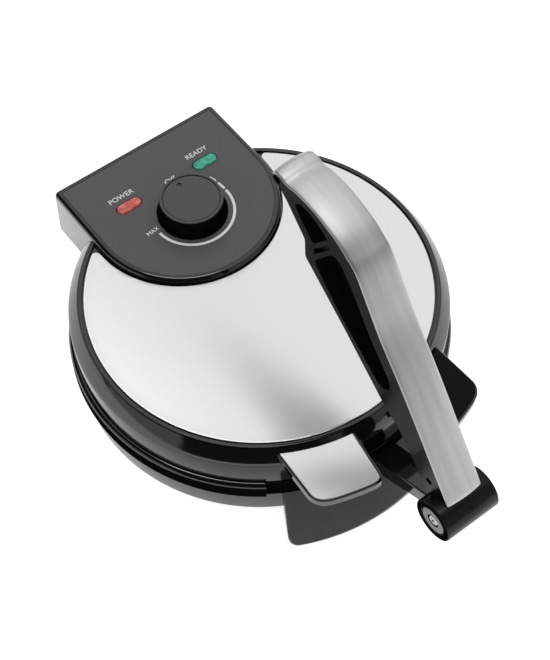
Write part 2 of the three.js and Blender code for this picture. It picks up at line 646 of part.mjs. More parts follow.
function knob() {
  const grip = turnedSolid([
    [KNOB_RADIUS, KNOB_BOTTOM],
    [KNOB_RADIUS - KNOB_DRAFT, KNOB_TOP - KNOB_EDGE],
    [KNOB_RADIUS - KNOB_DRAFT - KNOB_EDGE, KNOB_TOP],
    [KNOB_RADIUS - KNOB_DRAFT - KNOB_RING, KNOB_TOP],
    [KNOB_RADIUS - KNOB_DRAFT - KNOB_RING - KNOB_FACE_DROP, KNOB_TOP - KNOB_FACE_DROP],
  ], KNOB_ROUND);
  const hollow = turnedRing([
    [SPINDLE_RADIUS + WALL, KNOB_BOTTOM - OVERRUN],
    [KNOB_RADIUS - WALL, KNOB_BOTTOM - OVERRUN],
    [KNOB_RADIUS - WALL, KNOB_TOP - KNOB_ROOF],
    [SPINDLE_RADIUS + WALL, KNOB_TOP - KNOB_ROOF],
  ], SMALL_ROUND);
  const socket = disc(SPINDLE_RADIUS + SEAT, KNOB_BOTTOM - OVERRUN, KNOB_TOP - KNOB_ROOF, SMALL_ROUND);
  const reach = KNOB_RADIUS - KNOB_RING - 3 * INDEX_RADIUS;
  const dimple = disc(INDEX_RADIUS, KNOB_TOP - 2 * KNOB_FACE_DROP, KNOB_TOP + OVERRUN, TINY_ROUND)
    .translate(...onCircle(reach, INDEX_ANGLE), 0);
  return cut(grip, hollow, socket, dimple).translate(0, DIAL_Y, 0);
}

const spindle = disc(SPINDLE_RADIUS, THERMOSTAT_TOP - THERMOSTAT_HEIGHT / 2 + SEAT,
  KNOB_TOP - KNOB_ROOF - SEAT, SMALL_ROUND).translate(0, DIAL_Y, 0);

add('dial_knob', knob(), looks.glossBlack);
add('dial_spindle', spindle, looks.brass);

// Lid: gloss ring, steel cover, two handles with their plates, baking plate, element and reflector
const BEAD_GROOVE = 0.8;            // dark line between the steel and the bead round it
const BEAD_WIDTH = 3.2;
const BEAD_INNER = STEEL_RADIUS + BEAD_GROOVE;
const BEAD_OUTER = BEAD_INNER + BEAD_WIDTH;
const BEAD_RISE = 0.6;
const BEZEL_SHARES = [[0, 0], [0.17, 0.33], [0.5, 0.8]];   // inset and rise, shares of the bezel's rise
const COVER_LEDGE = 5;
const COVER_DOME = 2;
const DOME_STEPS = 3;
const COVER_GROOVE = 0.6;
const TAB_INNER = 24;
const TAB_OUTER = 75;
const TAB_FRONT_RADIUS = BODY_RADIUS + HANDLE_REACH;
const TAB_THICKNESS = 8;
const TAB_DROP = 2.5;
const TAB_TOP = STEEL_TOP - TAB_DROP;
const TAB_OUTER_CORNER = 13;
const TAB_INNER_CORNER = 6;
const TAB_BORDER = 1.6;
const TAB_OVERLAP = 7;              // how far the outline runs in under the bezel before it is cut to fit
const TAB_BACK = BODY_RADIUS - TAB_OVERLAP;
const HANDLE_SHEET = 1.2;
const UPPER_PLATE_FACE = LID_BOTTOM;
const UPPER_SHIELD = UPPER_PLATE_FACE + PLATE_THICKNESS + SEAT;

// The outline of a right handle: two sides along Y, a front concentric with the lid, rounded corners
function tabOutline(inset) {
  const front = TAB_FRONT_RADIUS - inset;
  const [inner, outer] = [TAB_INNER + inset, TAB_OUTER - inset];
  const corner = (x, radius, side) => {
    const size = radius - inset;
    const cx = x + side * size;
    const cy = -Math.sqrt((front - size) ** 2 - cx ** 2);
    const lean = Math.atan2(cy, cx);
    return side > 0 ? arc(cx, cy, size, -TURN / 2, lean, 6) : arc(cx, cy, size, lean, 0, 6);
  };
  const innerCorner = corner(inner, TAB_INNER_CORNER, 1);
  const outerCorner = corner(outer, TAB_OUTER_CORNER, -1);
  const from = Math.atan2(innerCorner[6].y, innerCorner[6].x);
  const to = Math.atan2(outerCorner[0].y, outerCorner[0].x);
  const back = (x) => new THREE.Vector2(x, -Math.sqrt((TAB_BACK + inset) ** 2 - x ** 2));
  const backArc = arc(0, 0, TAB_BACK + inset, Math.atan2(back(outer).y, outer), Math.atan2(back(inner).y, inner), 6);
  return [...innerCorner, ...arc(0, 0, front, from, to, 6).slice(1, -1), ...outerCorner, ...backArc];
}

const mirrored = (geometry) => geometry.clone().applyMatrix4(new THREE.Matrix4().makeScale(-1, 1, 1));

const bezelPairs = BEZEL_SHARES.map(([inset, rise]) =>
  [BODY_RADIUS - BEZEL_RISE * inset, BEZEL_BOTTOM + BEZEL_RISE * rise]);

function lidShell() {
  const inner = BODY_RADIUS - WALL;
  const ring = turnedRing([
    [PLATE_RADIUS + SEAT, LID_BOTTOM],
    [BODY_RADIUS, LID_BOTTOM],
    ...bezelPairs,
    [BEAD_OUTER, STEEL_TOP],
    [BEAD_OUTER - BEAD_RISE, STEEL_TOP + BEAD_RISE],
    [BEAD_INNER, STEEL_TOP + BEAD_RISE],
    [STEEL_RADIUS + SEAT, STEEL_TOP],
    [STEEL_RADIUS + SEAT, STEEL_TOP - SHEET - SEAT],
    [STEEL_RADIUS - COVER_LEDGE, STEEL_TOP - SHEET - SEAT],
    [STEEL_RADIUS - COVER_LEDGE, STEEL_TOP - SHEET - WALL],
    [BEAD_OUTER, STEEL_TOP - SHEET - WALL],
    [inner, BEZEL_BOTTOM],
    [inner, LID_BOTTOM + WALL],
    [PLATE_RADIUS + SEAT, LID_BOTTOM + WALL],
  ]);
  const opening = raised(housingOutline(-SEAT), HOUSING_IN_LID - SEAT, STEEL_TOP + WALL);
  return cut(ring, opening);
}

// The outside of the lid, grown by a gap, which the handles are cut to fit
const lidBody = (gap) => turnedSolid([
  [BODY_RADIUS + gap, 0],
  ...bezelPairs.map(([radius, height]) => [radius + gap, height]),
  [BEAD_OUTER + gap, STEEL_TOP],
]);

function handle() {
  const tab = raised(tabOutline(0), TAB_TOP - TAB_THICKNESS, TAB_TOP);
  const seat = raised(tabOutline(TAB_BORDER), TAB_TOP - HANDLE_SHEET, TAB_TOP + OVERRUN);
  return cut(tab, seat, lidBody(SEAT));
}

const handlePlate = () => cut(
  raised(tabOutline(TAB_BORDER + SEAT), TAB_TOP - HANDLE_SHEET, TAB_TOP),
  lidBody(2 * SEAT),
);

function lidCover() {
  const top = Array.from({ length: DOME_STEPS + 1 }, (_, i) => {
    const share = 1 - i / DOME_STEPS;
    return [STEEL_RADIUS * share, STEEL_TOP + COVER_DOME * (1 - share ** 2)];
  });
  const under = top.map(([r, z]) => [r, z - SHEET]).reverse();
  const shell = turned([...under, ...top]);
  const opening = raised(housingOutline(-COVER_GROOVE), 0, 2 * STEEL_TOP);
  return cut(shell, opening);
}

add('lid_shell', lidShell(), looks.glossBlack);
add('lid_cover', lidCover(), looks.brushedSteel);
add('handle_right', handle(), looks.glossBlack);
add('handle_left', mirrored(handle()), looks.glossBlack);
add('handle_plate_right', handlePlate(), looks.brushedSteel);
add('handle_plate_left', mirrored(handlePlate()), looks.brushedSteel);
add('upper_plate', bakingPlate(UPPER_PLATE_FACE, 1), looks.bakingPlate);
add('upper_element', heatingElement(UPPER_SHIELD + ELEMENT_BAR), looks.castAluminium);
add('upper_heat_shield', heatShield(UPPER_SHIELD, 1), looks.castAluminium);

// Hinge lugs hang from the housing's roof, outside the ears
function hingeLug(side) {
  const inner = EAR_OUTER + SEAT;
  const [x0, x1] = [inner, inner + LUG_WIDTH].map((x) => side * x).sort((a, b) => a - b);
  const roof = HOUSING_TOP - 2 * WALL;
  const strap = block([x0, x1], [HINGE_Y - EAR_RADIUS, HINGE_Y + EAR_RADIUS], [HINGE_Z, roof]);
  const bore = bar(HINGE_PIN_RADIUS + SEAT, [x0 - OVERRUN, x1 + OVERRUN], HINGE_Y, HINGE_Z, TINY_ROUND);
  return cut(join(strap, bar(EAR_RADIUS, [x0, x1], HINGE_Y, HINGE_Z)), bore);
}

add('hinge_lug_left', hingeLug(-1), looks.satinBlack);
add('hinge_lug_right', hingeLug(1), looks.satinBlack);

// Lever: side outline points are shares of its length, measured from the pivot
const COVER_SHEET = 1.2;
const COVER_CROWN = 1.6;
const POCKET_WEB = 3;
const FOOT_LOW_ANGLE = rad(24);
const FOOT_TOP_ANGLE = rad(95);
const COVER_FOOT_ANGLE = rad(104);
const FOOT_STEPS = 8;
const STEPS_PER_SHARE = 2;
const BACK_SHARES = [[0.05, 0.163], [0.143, 0.294], [0.214, 0.389], [0.29, 0.484], [0.34, 0.56],
  [0.393, 0.639], [0.43, 0.668], [0.48, 0.694], [0.555, 0.714], [0.619, 0.716], [0.664, 0.709]];
const TIP_SHARES = [[0.684, 0.714], [0.704, 0.714], [0.719, 0.705], [0.727, 0.689], [0.72, 0.677],
  [0.703, 0.671]];
const BELLY_SHARES = [[0.692, 0.667], [0.666, 0.646], [0.593, 0.567], [0.59, 0.5], [0.575, 0.487],
  [0.425, 0.365], [0.266, 0.226], [0.19, 0.178], [0.115, 0.091]];
const LONG_POCKET_SHARES = [[0.245, 0.305], [0.262, 0.288], [0.285, 0.286], [0.454, 0.417], [0.54, 0.503],
  [0.551, 0.525], [0.493, 0.609], [0.472, 0.622], [0.441, 0.603], [0.4, 0.553], [0.362, 0.493],
  [0.325, 0.44], [0.284, 0.392], [0.25, 0.35], [0.241, 0.325]];
const TIP_POCKET_SHARES = [[0.56, 0.583], [0.6, 0.624], [0.635, 0.664], [0.612, 0.687], [0.579, 0.688],
  [0.54, 0.676], [0.504, 0.658]];
const SCREW_HOLE_SHARES = [0.07, 0.1];
const SCREW_HOLE_RADIUS = 2.2;
const SCREW_HOLE_DEPTH = 5;

const ofLever = (shares) => shares.map(([y, z]) => [y * LEVER_LENGTH, z * LEVER_LENGTH]);

// The cover's path: up the back of the lever and round its tip, smoothed through the points above
const backCurve = new THREE.SplineCurve(
  [
    polar(BARREL_RADIUS + SEAT + COVER_SHEET, COVER_FOOT_ANGLE),
    ...ofLever(BACK_SHARES),
    ...ofLever(TIP_SHARES),
  ].map(([y, z]) => new THREE.Vector2(y, z)),
);
const backSteps = STEPS_PER_SHARE * (BACK_SHARES.length + TIP_SHARES.length);
const backPoints = backCurve.getPoints(backSteps).map((p) => [p.x, p.y]);

// The same line moved towards the belly by a distance
function inwardLine(points, distance) {
  return points.map(([y, z], i) => {
    const [y0, z0] = points[Math.max(i - 1, 0)];
    const [y1, z1] = points[Math.min(i + 1, points.length - 1)];
    const length = Math.hypot(y1 - y0, z1 - z0);
    return [y + distance * (z1 - z0) / length, z - distance * (y1 - y0) / length];
  });
}

// A moulding with a pocket sunk into each side up to a middle web, and a rib left across the pocket
function leverFrame() {
  const half = LEVER_WIDTH / 2;
  const straight = backPoints.slice(0, STEPS_PER_SHARE * BACK_SHARES.length + 1);
  const back = inwardLine(straight, COVER_SHEET + SEAT).slice(1);
  const foot = Array.from({ length: FOOT_STEPS + 1 }, (_, i) =>
    polar(BARREL_RADIUS + 2 * SEAT, FOOT_LOW_ANGLE + (FOOT_TOP_ANGLE - FOOT_LOW_ANGLE) * i / FOOT_STEPS));
  const body = sideways([...foot, ...back, ...ofLever(BELLY_SHARES)].map(fromPivot), [-half, half]);
  const hole = fromPivot(ofLever([SCREW_HOLE_SHARES])[0]);
  const sunk = [-1, 1].flatMap((side) => {
    const spans = [[POCKET_WEB / 2, half + OVERRUN], [half - SCREW_HOLE_DEPTH, half + OVERRUN]];
    const [pocket, screw] = spans.map((span) => span.map((x) => side * x).sort((a, b) => a - b));
    return [
      sideways(ofLever(LONG_POCKET_SHARES).map(fromPivot), pocket),
      sideways(ofLever(TIP_POCKET_SHARES).map(fromPivot), pocket),
      bar(SCREW_HOLE_RADIUS, screw, ...hole, TINY_ROUND),
    ];
  });
  return cut(body, ...sunk);
}

function leverCover() {
  const half = LEVER_WIDTH / 2;
  const crossings = 8;
  const under = inwardLine(backPoints, COVER_SHEET);
  const rings = backPoints.map((top, i) => {
    const upper = Array.from({ length: crossings + 1 }, (_, k) => {
      const share = 1 - 2 * k / crossings;
      const lift = COVER_CROWN * (1 - share ** 2);
      const [y, z] = fromPivot([
        top[0] + (top[0] - under[i][0]) * lift / COVER_SHEET,
        top[1] + (top[1] - under[i][1]) * lift / COVER_SHEET,
      ]);
      return new THREE.Vector3(share * half, y, z);
    });
    const [y, z] = fromPivot(under[i]);
    return [...upper, new THREE.Vector3(-half, y, z), new THREE.Vector3(half, y, z)];
  });
  return loft(rings);
}

add('lever_frame', leverFrame(), looks.glossBlack);
add('lever_cover', leverCover(), looks.satinSilver);

// Barrel: the lever's knuckle, open below and behind where the arm passes, with pin, caps and screws
const EYE_CLEARANCE = 0.5;
const BARREL_BORE = EYE_RADIUS + EYE_CLEARANCE;
const SLOT_FROM = rad(-162);
const SLOT_TO = rad(27);
const SLOT_SIDE = 0.4;
const CAP_RADIUS = 11;
const CAP_DEPTH = 3;
const SCREW_RADIUS = 4;
const SCREW_HEAD = 1.6;

function leverBarrel() {
  const half = BARREL_LENGTH / 2;
  const slotHalf = EYE_WIDTH / 2 + SLOT_SIDE;
  const body = bar(BARREL_RADIUS, [-half, half], PIVOT_Y, PIVOT_Z, KNOB_ROUND);
  const inner = bar(BARREL_BORE, [-slotHalf, slotHalf], PIVOT_Y, PIVOT_Z, KNOB_ROUND);
  const sweep = [[0, 0], ...arc(0, 0, 2 * BARREL_RADIUS, SLOT_FROM, SLOT_TO, 12).map((p) => [p.x, p.y])];
  const slot = sideways(sweep.map(fromPivot), [-slotHalf, slotHalf]);
  const bore = bar(PIN_RADIUS + SEAT, [-half - OVERRUN, half + OVERRUN], PIVOT_Y, PIVOT_Z);
  const seats = [-1, 1].map((side) =>
    bar(CAP_RADIUS + SEAT, [side * half - CAP_DEPTH, side * half + CAP_DEPTH], PIVOT_Y, PIVOT_Z, KNOB_ROUND));
  return cut(body, inner, slot, bore, ...seats);
}

add('lever_barrel', leverBarrel(), looks.glossBlack);
const PIN_HALF = BARREL_LENGTH / 2 - CAP_DEPTH - SEAT;
add('pivot_pin', bar(PIN_RADIUS, [-PIN_HALF, PIN_HALF], PIVOT_Y, PIVOT_Z), looks.chrome);
for (const [side, name] of [[-1, 'left'], [1, 'right']]) {
  const face = BARREL_LENGTH / 2 - SEAT;
  const span = [face - CAP_DEPTH + SEAT, face].map((x) => side * x).sort((a, b) => a - b);
  const well = [face - SCREW_HEAD, face + OVERRUN].map((x) => side * x).sort((a, b) => a - b);
  const head = [face - SCREW_HEAD + SEAT, face - SEAT].map((x) => side * x).sort((a, b) => a - b);
  const cap = cut(bar(CAP_RADIUS, span, PIVOT_Y, PIVOT_Z, KNOB_ROUND),
    bar(SCREW_RADIUS + SEAT, well, PIVOT_Y, PIVOT_Z));
  add(`barrel_cap_${name}`, cap, looks.panelGrey);
  add(`barrel_screw_${name}`, bar(SCREW_RADIUS, head, PIVOT_Y, PIVOT_Z), looks.chrome);
}

// The origin lies under the middle of the machine's length
const machine = new THREE.Group();
model.position.y = (PIVOT_REACH + BARREL_RADIUS - HOUSING_REAR) / 2;
machine.add(model);

export default machine;
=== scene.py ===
import math

import bpy
from mathutils import Matrix, Quaternion, Vector


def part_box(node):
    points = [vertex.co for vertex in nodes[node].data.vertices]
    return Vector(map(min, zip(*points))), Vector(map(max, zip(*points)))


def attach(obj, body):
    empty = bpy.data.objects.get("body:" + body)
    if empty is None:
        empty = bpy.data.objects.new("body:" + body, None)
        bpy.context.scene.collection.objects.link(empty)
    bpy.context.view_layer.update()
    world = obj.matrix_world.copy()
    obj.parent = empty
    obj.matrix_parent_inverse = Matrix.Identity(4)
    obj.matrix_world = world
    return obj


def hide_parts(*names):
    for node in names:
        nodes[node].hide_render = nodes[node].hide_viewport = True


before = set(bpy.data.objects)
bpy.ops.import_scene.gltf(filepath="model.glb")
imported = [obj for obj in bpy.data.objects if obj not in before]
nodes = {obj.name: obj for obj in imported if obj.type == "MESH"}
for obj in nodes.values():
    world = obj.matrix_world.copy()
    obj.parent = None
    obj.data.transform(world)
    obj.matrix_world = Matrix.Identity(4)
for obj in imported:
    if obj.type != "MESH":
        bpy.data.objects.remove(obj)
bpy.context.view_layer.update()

# Camera. The machine is seen from its front left corner and from high above, with a long lens,
# so that the round lid is a full ellipse and the lever reaches up towards the lens.
PHOTO_LONG_SIDE = 660
SENSOR = 36
FOCAL_PIXELS = 1445.5
AIM = Vector((-0.01267, -0.00141, 0.083))
DISTANCE = 1.0319
AZIMUTH = math.radians(-36.53)
ELEVATION = math.radians(57.1)
ROLL = math.radians(-0.74)

back = Vector((
    math.sin(AZIMUTH) * math.cos(ELEVATION),
    -math.cos(AZIMUTH) * math.cos(ELEVATION),
    math.sin(ELEVATION),
))
bpy.ops.object.select_all(action="DESELECT")
bpy.ops.object.camera_add(location=AIM + back * DISTANCE)
camera = bpy.context.object
camera.rotation_mode = "QUATERNION"
camera.rotation_quaternion = back.to_track_quat("Z", "Y") @ Quaternion((0, 0, 1), ROLL)
camera.data.sensor_width = SENSOR
camera.data.lens = FOCAL_PIXELS * SENSOR / PHOTO_LONG_SIDE
bpy.context.scene.camera = camera
bpy.context.scene.view_settings.view_transform = "Standard"

# Studio. A white table in a dark room. The ceiling is bright above the right and the rear, where the
# steel looks, a grey wall stands in front, and a window at the left and a narrow one in the roof give
# the black plastic its gleams. Two soft boxes light the machine.
TABLE_SIZE = 12
TABLE_DROP = 0.0004
TABLE_WHITE = (0.9, 0.9, 0.9, 1)
TABLE_ROUGHNESS = 0.9
TABLE_GLOSS = 0.1
TABLE_GLOW = 0.72
ROOM_LIGHT = 0.62
ROOM_DARK = 0.02
ROOM_PATCHES = [
    # direction, cosines to it at the patch's edge and where it is full, levels outside and inside:
    # first the ceiling, then the window at the left and the wall in front
    ((0.45, 0.35, 0.82), (0.60, 0.75), (ROOM_DARK, 1.28)),
    ((-0.98, 0.10, 0.08), (0.92, 0.94), (0, 0.9)),
    ((0.37, -0.82, 0.40), (0.82, 0.95), (0, 0.66)),
]
ROOF_WINDOW = [
    # a round patch, and the two cuts that leave a narrow strip of it
    ((-0.052, 0.039, 0.998), (0.955, 0.97), (0, 8.5)),
    ((0.595, 0.803, 0), (-0.11, -0.08), (0, 1)),
    ((0.595, 0.803, 0), (0.08, 0.11), (1, 0)),
]
SOFT_BOXES = [
    # name, place, width, height, watts
    ("box_above", (0.9, 1.1, 2.2), 2.6, 2.2, 24.0),
    ("box_front_left", (-1.9, -0.6, 1.3), 1.2, 1.2, 6.0),
]


def joined(tree, operation, *levels):
    """Levels of light put together with a MAXIMUM or a MULTIPLY."""
    whole = levels[0]
    for level in levels[1:]:
        step = tree.nodes.new("ShaderNodeMath")
        step.operation = operation
        tree.links.new(whole, step.inputs[0])
        tree.links.new(level, step.inputs[1])
        whole = step.outputs[0]
    return whole


def shown(tree, elsewhere, directly, output):
    """Shows one shader to the lens, in mirror-like surfaces and through glass, and another elsewhere."""
    path = tree.nodes.new("ShaderNodeLightPath")
    rays = [path.outputs[ray] for ray in ("Is Camera Ray", "Is Glossy Ray", "Is Transmission Ray")]
    choice = tree.nodes.new("ShaderNodeMixShader")
    tree.links.new(joined(tree, "MAXIMUM", *rays), choice.inputs[0])
    tree.links.new(elsewhere, choice.inputs[1])
    tree.links.new(directly, choice.inputs[2])
    tree.links.new(choice.outputs[0], tree.nodes[output].inputs["Surface"])


table_finish = bpy.data.materials.new("table_finish")
table_finish.use_nodes = True
tree = table_finish.node_tree
shader = tree.nodes["Principled BSDF"]
shader.inputs["Base Color"].default_value = TABLE_WHITE
shader.inputs["Roughness"].default_value = TABLE_ROUGHNESS
shader.inputs["Specular IOR Level"].default_value = TABLE_GLOSS
glow = tree.nodes.new("ShaderNodeEmission")
glow.inputs["Strength"].default_value = TABLE_GLOW
both = tree.nodes.new("ShaderNodeAddShader")
tree.links.new(shader.outputs[0], both.inputs[0])
tree.links.new(glow.outputs[0], both.inputs[1])
shown(tree, shader.outputs[0], both.outputs[0], "Material Output")

bpy.ops.object.select_all(action="DESELECT")
bpy.ops.mesh.primitive_plane_add(size=TABLE_SIZE, location=(0, 0, -TABLE_DROP))
table = bpy.context.object
table.name = "table_top"
table.data.materials.append(table_finish)

room = bpy.data.worlds.new("room")
bpy.context.scene.world = room
room.use_nodes = True
tree = room.node_tree
lit = tree.nodes["Background"]
lit.inputs["Color"].default_value = (1, 1, 1, 1)
lit.inputs["Strength"].default_value = ROOM_LIGHT
view = tree.nodes.new("ShaderNodeTexCoord")


def towards(direction, cosines, levels):
    """A level that goes from the first to the second as the view turns towards a direction."""
    dot = tree.nodes.new("ShaderNodeVectorMath")
    dot.operation = "DOT_PRODUCT"
    dot.inputs[1].default_value = Vector(direction).normalized()
    tree.links.new(view.outputs["Generated"], dot.inputs[0])
    level = tree.nodes.new("ShaderNodeMapRange")
    level.inputs["From Min"].default_value = cosines[0]
    level.inputs["From Max"].default_value = cosines[1]
    level.inputs["To Min"].default_value = levels[0]
    level.inputs["To Max"].default_value = levels[1]
    tree.links.new(dot.outputs["Value"], level.inputs["Value"])
    return level.outputs[0]


ray = tree.nodes.new("ShaderNodeLightPath")
patches = [towards(*patch) for patch in ROOM_PATCHES]
roof_window = joined(tree, "MULTIPLY", *[towards(*part) for part in ROOF_WINDOW])
brightness = joined(tree, "MAXIMUM", ray.outputs["Is Camera Ray"], *patches, roof_window)
seen = tree.nodes.new("ShaderNodeBackground")
tree.links.new(brightness, seen.inputs["Strength"])
shown(tree, lit.outputs[0], seen.outputs[0], "World Output")

for name, place, width, height, watts in SOFT_BOXES:
    bpy.ops.object.light_add(type="AREA", location=place)
    lamp = bpy.context.object
    lamp.name = name
    lamp.data.shape = "RECTANGLE"
    lamp.data.size = width
    lamp.data.size_y = height
    lamp.data.energy = watts
    lamp.visible_glossy = False
    lamp.rotation_mode = "QUATERNION"
    lamp.rotation_quaternion = Vector(place).to_track_quat("Z", "Y")

# Base pan. A shallow moulded dish of gloss black plastic, turned in shape, with a nearly upright wall
# that tucks in under the bead and a crisp bottom edge a few millimetres above the table.
MM = 0.001
low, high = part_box("lower_plate")
BODY_Y = (low.y + high.y) / 2
ROUND_SIDES = 240
SMOOTH_ANGLE = 35
DOUBLES = 0.00001
PAN_LINE = [(0, 6), (138.7, 6), (139, 30.5), (136, 30.5), (135.7, 9), (0, 9)]
PAN_ROUNDING = [0, 0.6, 0.6, 0.4, 2, 0]
NOISE_DETAIL = 5
NOISE_SPAN = (0.3, 0.7)
GRAIN_DEPTH = 0.0002


def rounded(points, radii, steps=5):
    """A closed line of points in millimetres with each corner rounded by its own radius."""
    line = []
    for i, (point, radius) in enumerate(zip(points, radii)):
        corner = Vector(point)
        if radius == 0:
            line.append((corner.x, corner.y))
            continue
        before = (Vector(points[i - 1]) - corner).normalized()
        after = (Vector(points[(i + 1) % len(points)]) - corner).normalized()
        half = before.angle(after) / 2
        centre = corner + (before + after).normalized() * (radius / math.sin(half))
        start = corner + before * (radius / math.tan(half)) - centre
        end = corner + after * (radius / math.tan(half)) - centre
        sweep = math.atan2(start.x * end.y - start.y * end.x, start.dot(end))
        for k in range(steps + 1):
            turned_to = Matrix.Rotation(sweep * k / steps, 2) @ start
            line.append((centre.x + turned_to.x, centre.y + turned_to.y))
    return line


def finished(piece, angle=SMOOTH_ANGLE):
    """Puts the piece's place into its mesh, merges doubles, turns faces outwards and smooths them."""
    bpy.ops.object.select_all(action="DESELECT")
    piece.select_set(True)
    bpy.context.view_layer.objects.active = piece
    bpy.ops.object.transform_apply(location=True, rotation=True, scale=True)
    bpy.ops.object.mode_set(mode="EDIT")
    bpy.ops.mesh.select_all(action="SELECT")
    bpy.ops.mesh.remove_doubles(threshold=DOUBLES)
    bpy.ops.mesh.normals_make_consistent(inside=False)
    bpy.ops.object.mode_set(mode="OBJECT")
    bpy.ops.object.shade_smooth_by_angle(angle=math.radians(angle))
    return piece


def turned(name, line, sides=ROUND_SIDES, centre=(0, 0), angle=SMOOTH_ANGLE):
    """A turned piece: a circle, or a disc where the line starts on the axis, extruded along the line."""
    x = centre[0] * MM
    y = BODY_Y + centre[1] * MM
    solid = line[0][0] == 0
    rings = line[1:-1] if solid else [*line, line[0]]
    radius, level = rings[0]
    bpy.ops.object.select_all(action="DESELECT")
    bpy.ops.mesh.primitive_circle_add(vertices=sides, radius=radius * MM, location=(x, y, level * MM),
                                      fill_type="TRIFAN" if solid else "NOTHING")
    piece = bpy.context.object
    piece.name = name
    bpy.ops.object.mode_set(mode="EDIT")
    bpy.ops.mesh.select_all(action="SELECT")
    for next_radius, next_level in rings[1:]:
        rise = (0, 0, (next_level - level) * MM)
        bpy.ops.mesh.extrude_region_move(TRANSFORM_OT_translate={"value": rise})
        share = next_radius / radius
        bpy.ops.transform.resize(value=(share, share, 1), center_override=(x, y, next_level * MM))
        radius, level = next_radius, next_level
    bpy.ops.object.mode_set(mode="OBJECT")
    return finished(piece, angle)


def finish_of(name, dark, light, smooth, rough, grain, relief, metallic=0.0, **sockets):
    """A material whose colour and gloss drift over a grain (repeats per metre) with a fine relief."""
    made = bpy.data.materials.new(name)
    made.use_nodes = True
    tree = made.node_tree
    shader = tree.nodes["Principled BSDF"]
    shader.inputs["Metallic"].default_value = metallic
    for socket, value in sockets.items():
        shader.inputs[socket.replace("_", " ")].default_value = value
    place = tree.nodes.new("ShaderNodeTexCoord")
    stretch = tree.nodes.new("ShaderNodeMapping")
    stretch.inputs["Scale"].default_value = grain
    tree.links.new(place.outputs["Object"], stretch.inputs["Vector"])
    cloud = tree.nodes.new("ShaderNodeTexNoise")
    cloud.inputs["Scale"].default_value = 1
    cloud.inputs["Detail"].default_value = NOISE_DETAIL
    tree.links.new(stretch.outputs[0], cloud.inputs["Vector"])
    drift = tree.nodes.new("ShaderNodeValToRGB")
    for element, position, colour in zip(drift.color_ramp.elements, NOISE_SPAN, (dark, light)):
        element.position = position
        element.color = (*colour, 1)
    tree.links.new(cloud.outputs["Fac"], drift.inputs[0])
    tree.links.new(drift.outputs[0], shader.inputs["Base Color"])
    gloss = tree.nodes.new("ShaderNodeMapRange")
    gloss.inputs["From Min"].default_value = NOISE_SPAN[0]
    gloss.inputs["From Max"].default_value = NOISE_SPAN[1]
    gloss.inputs["To Min"].default_value = smooth
    gloss.inputs["To Max"].default_value = rough
    tree.links.new(cloud.outputs["Fac"], gloss.inputs["Value"])
    tree.links.new(gloss.outputs[0], shader.inputs["Roughness"])
    bump = tree.nodes.new("ShaderNodeBump")
    bump.inputs["Strength"].default_value = relief
    bump.inputs["Distance"].default_value = GRAIN_DEPTH
    tree.links.new(cloud.outputs["Fac"], bump.inputs["Height"])
    tree.links.new(bump.outputs[0], shader.inputs["Normal"])
    return made


def fitted(piece, body, material, slot, *replaced):
    """Gives a piece its material and its body and hides the nodes it stands for; its slot is not used."""
    piece.data.materials.clear()
    piece.data.materials.append(material)
    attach(piece, body)
    if replaced:
        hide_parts(*replaced)
    return piece


dish_black = finish_of("dish_black_plastic", (0.034, 0.034, 0.035), (0.040, 0.040, 0.041),
                       0.16, 0.22, (200, 200, 200), 0.02, Specular_IOR_Level=0.45)
pan = turned("base_dish", rounded(PAN_LINE, PAN_ROUNDING))
fitted(pan, "base", dish_black, "gloss_black", "base_pan")

# Bead. The thick rounded rim of the base, moulded in gloss black; its upright side is painted as shade in a
# black that reflects nothing. It stops with a small step to each side of the front, where a thinner rim
# carries on under the handles.
BEAD_LINE = [(127.3, 30.5), (143.3, 30.5), (143.3, 47), (127.3, 47)]
BEAD_ROUNDING = [0.5, 2.4, 4.2, 0.8]
BEAD_EDGE = 0.35
THIN_RIM_RADIUS = 140.4
STEP_ANGLE = 35
PAST_RIM = 150
RIM_CUT = (25, 52)
PAST_CUT = 10
UPRIGHT = 0.4
gloss_black = finish_of("gloss_black_plastic", (0.0035, 0.0035, 0.0038), (0.006, 0.006, 0.0065),
                        0.05, 0.09, (90, 90, 90), 0.012, Specular_IOR_Level=0.7)
# A black that reflects nothing. It is the dial lining's own dull black, and painted shade on the upright
# sides of the bead and the dial grip, on the barrel's ends and in the wells round its screws.
dull_and_painted_shade_black = finish_of("dull_and_painted_shade_black_plastic", (0.003, 0.003, 0.003), (0.005, 0.005, 0.005),
                       0.16, 0.22, (200, 200, 200), 0.02, Specular_IOR_Level=0.0)


def polar(radius, degrees):
    """A point on a circle, its angle measured from the front, or from below if it stands on edge."""
    return radius * math.sin(math.radians(degrees)), -radius * math.cos(math.radians(degrees))


def arc(radius, start, end, steps):
    return [polar(radius, start + (end - start) * k / steps) for k in range(steps + 1)]


def edges_rounded(piece, width, segments=3, limit=50):
    """Rounds every edge sharper than the limit with a bevel."""
    bpy.context.view_layer.objects.active = piece
    bevel = piece.modifiers.new("edges", "BEVEL")
    bevel.width = width * MM
    bevel.segments = segments
    bevel.limit_method = "ANGLE"
    bevel.angle_limit = math.radians(limit)
    bpy.ops.object.modifier_apply(modifier=bevel.name)


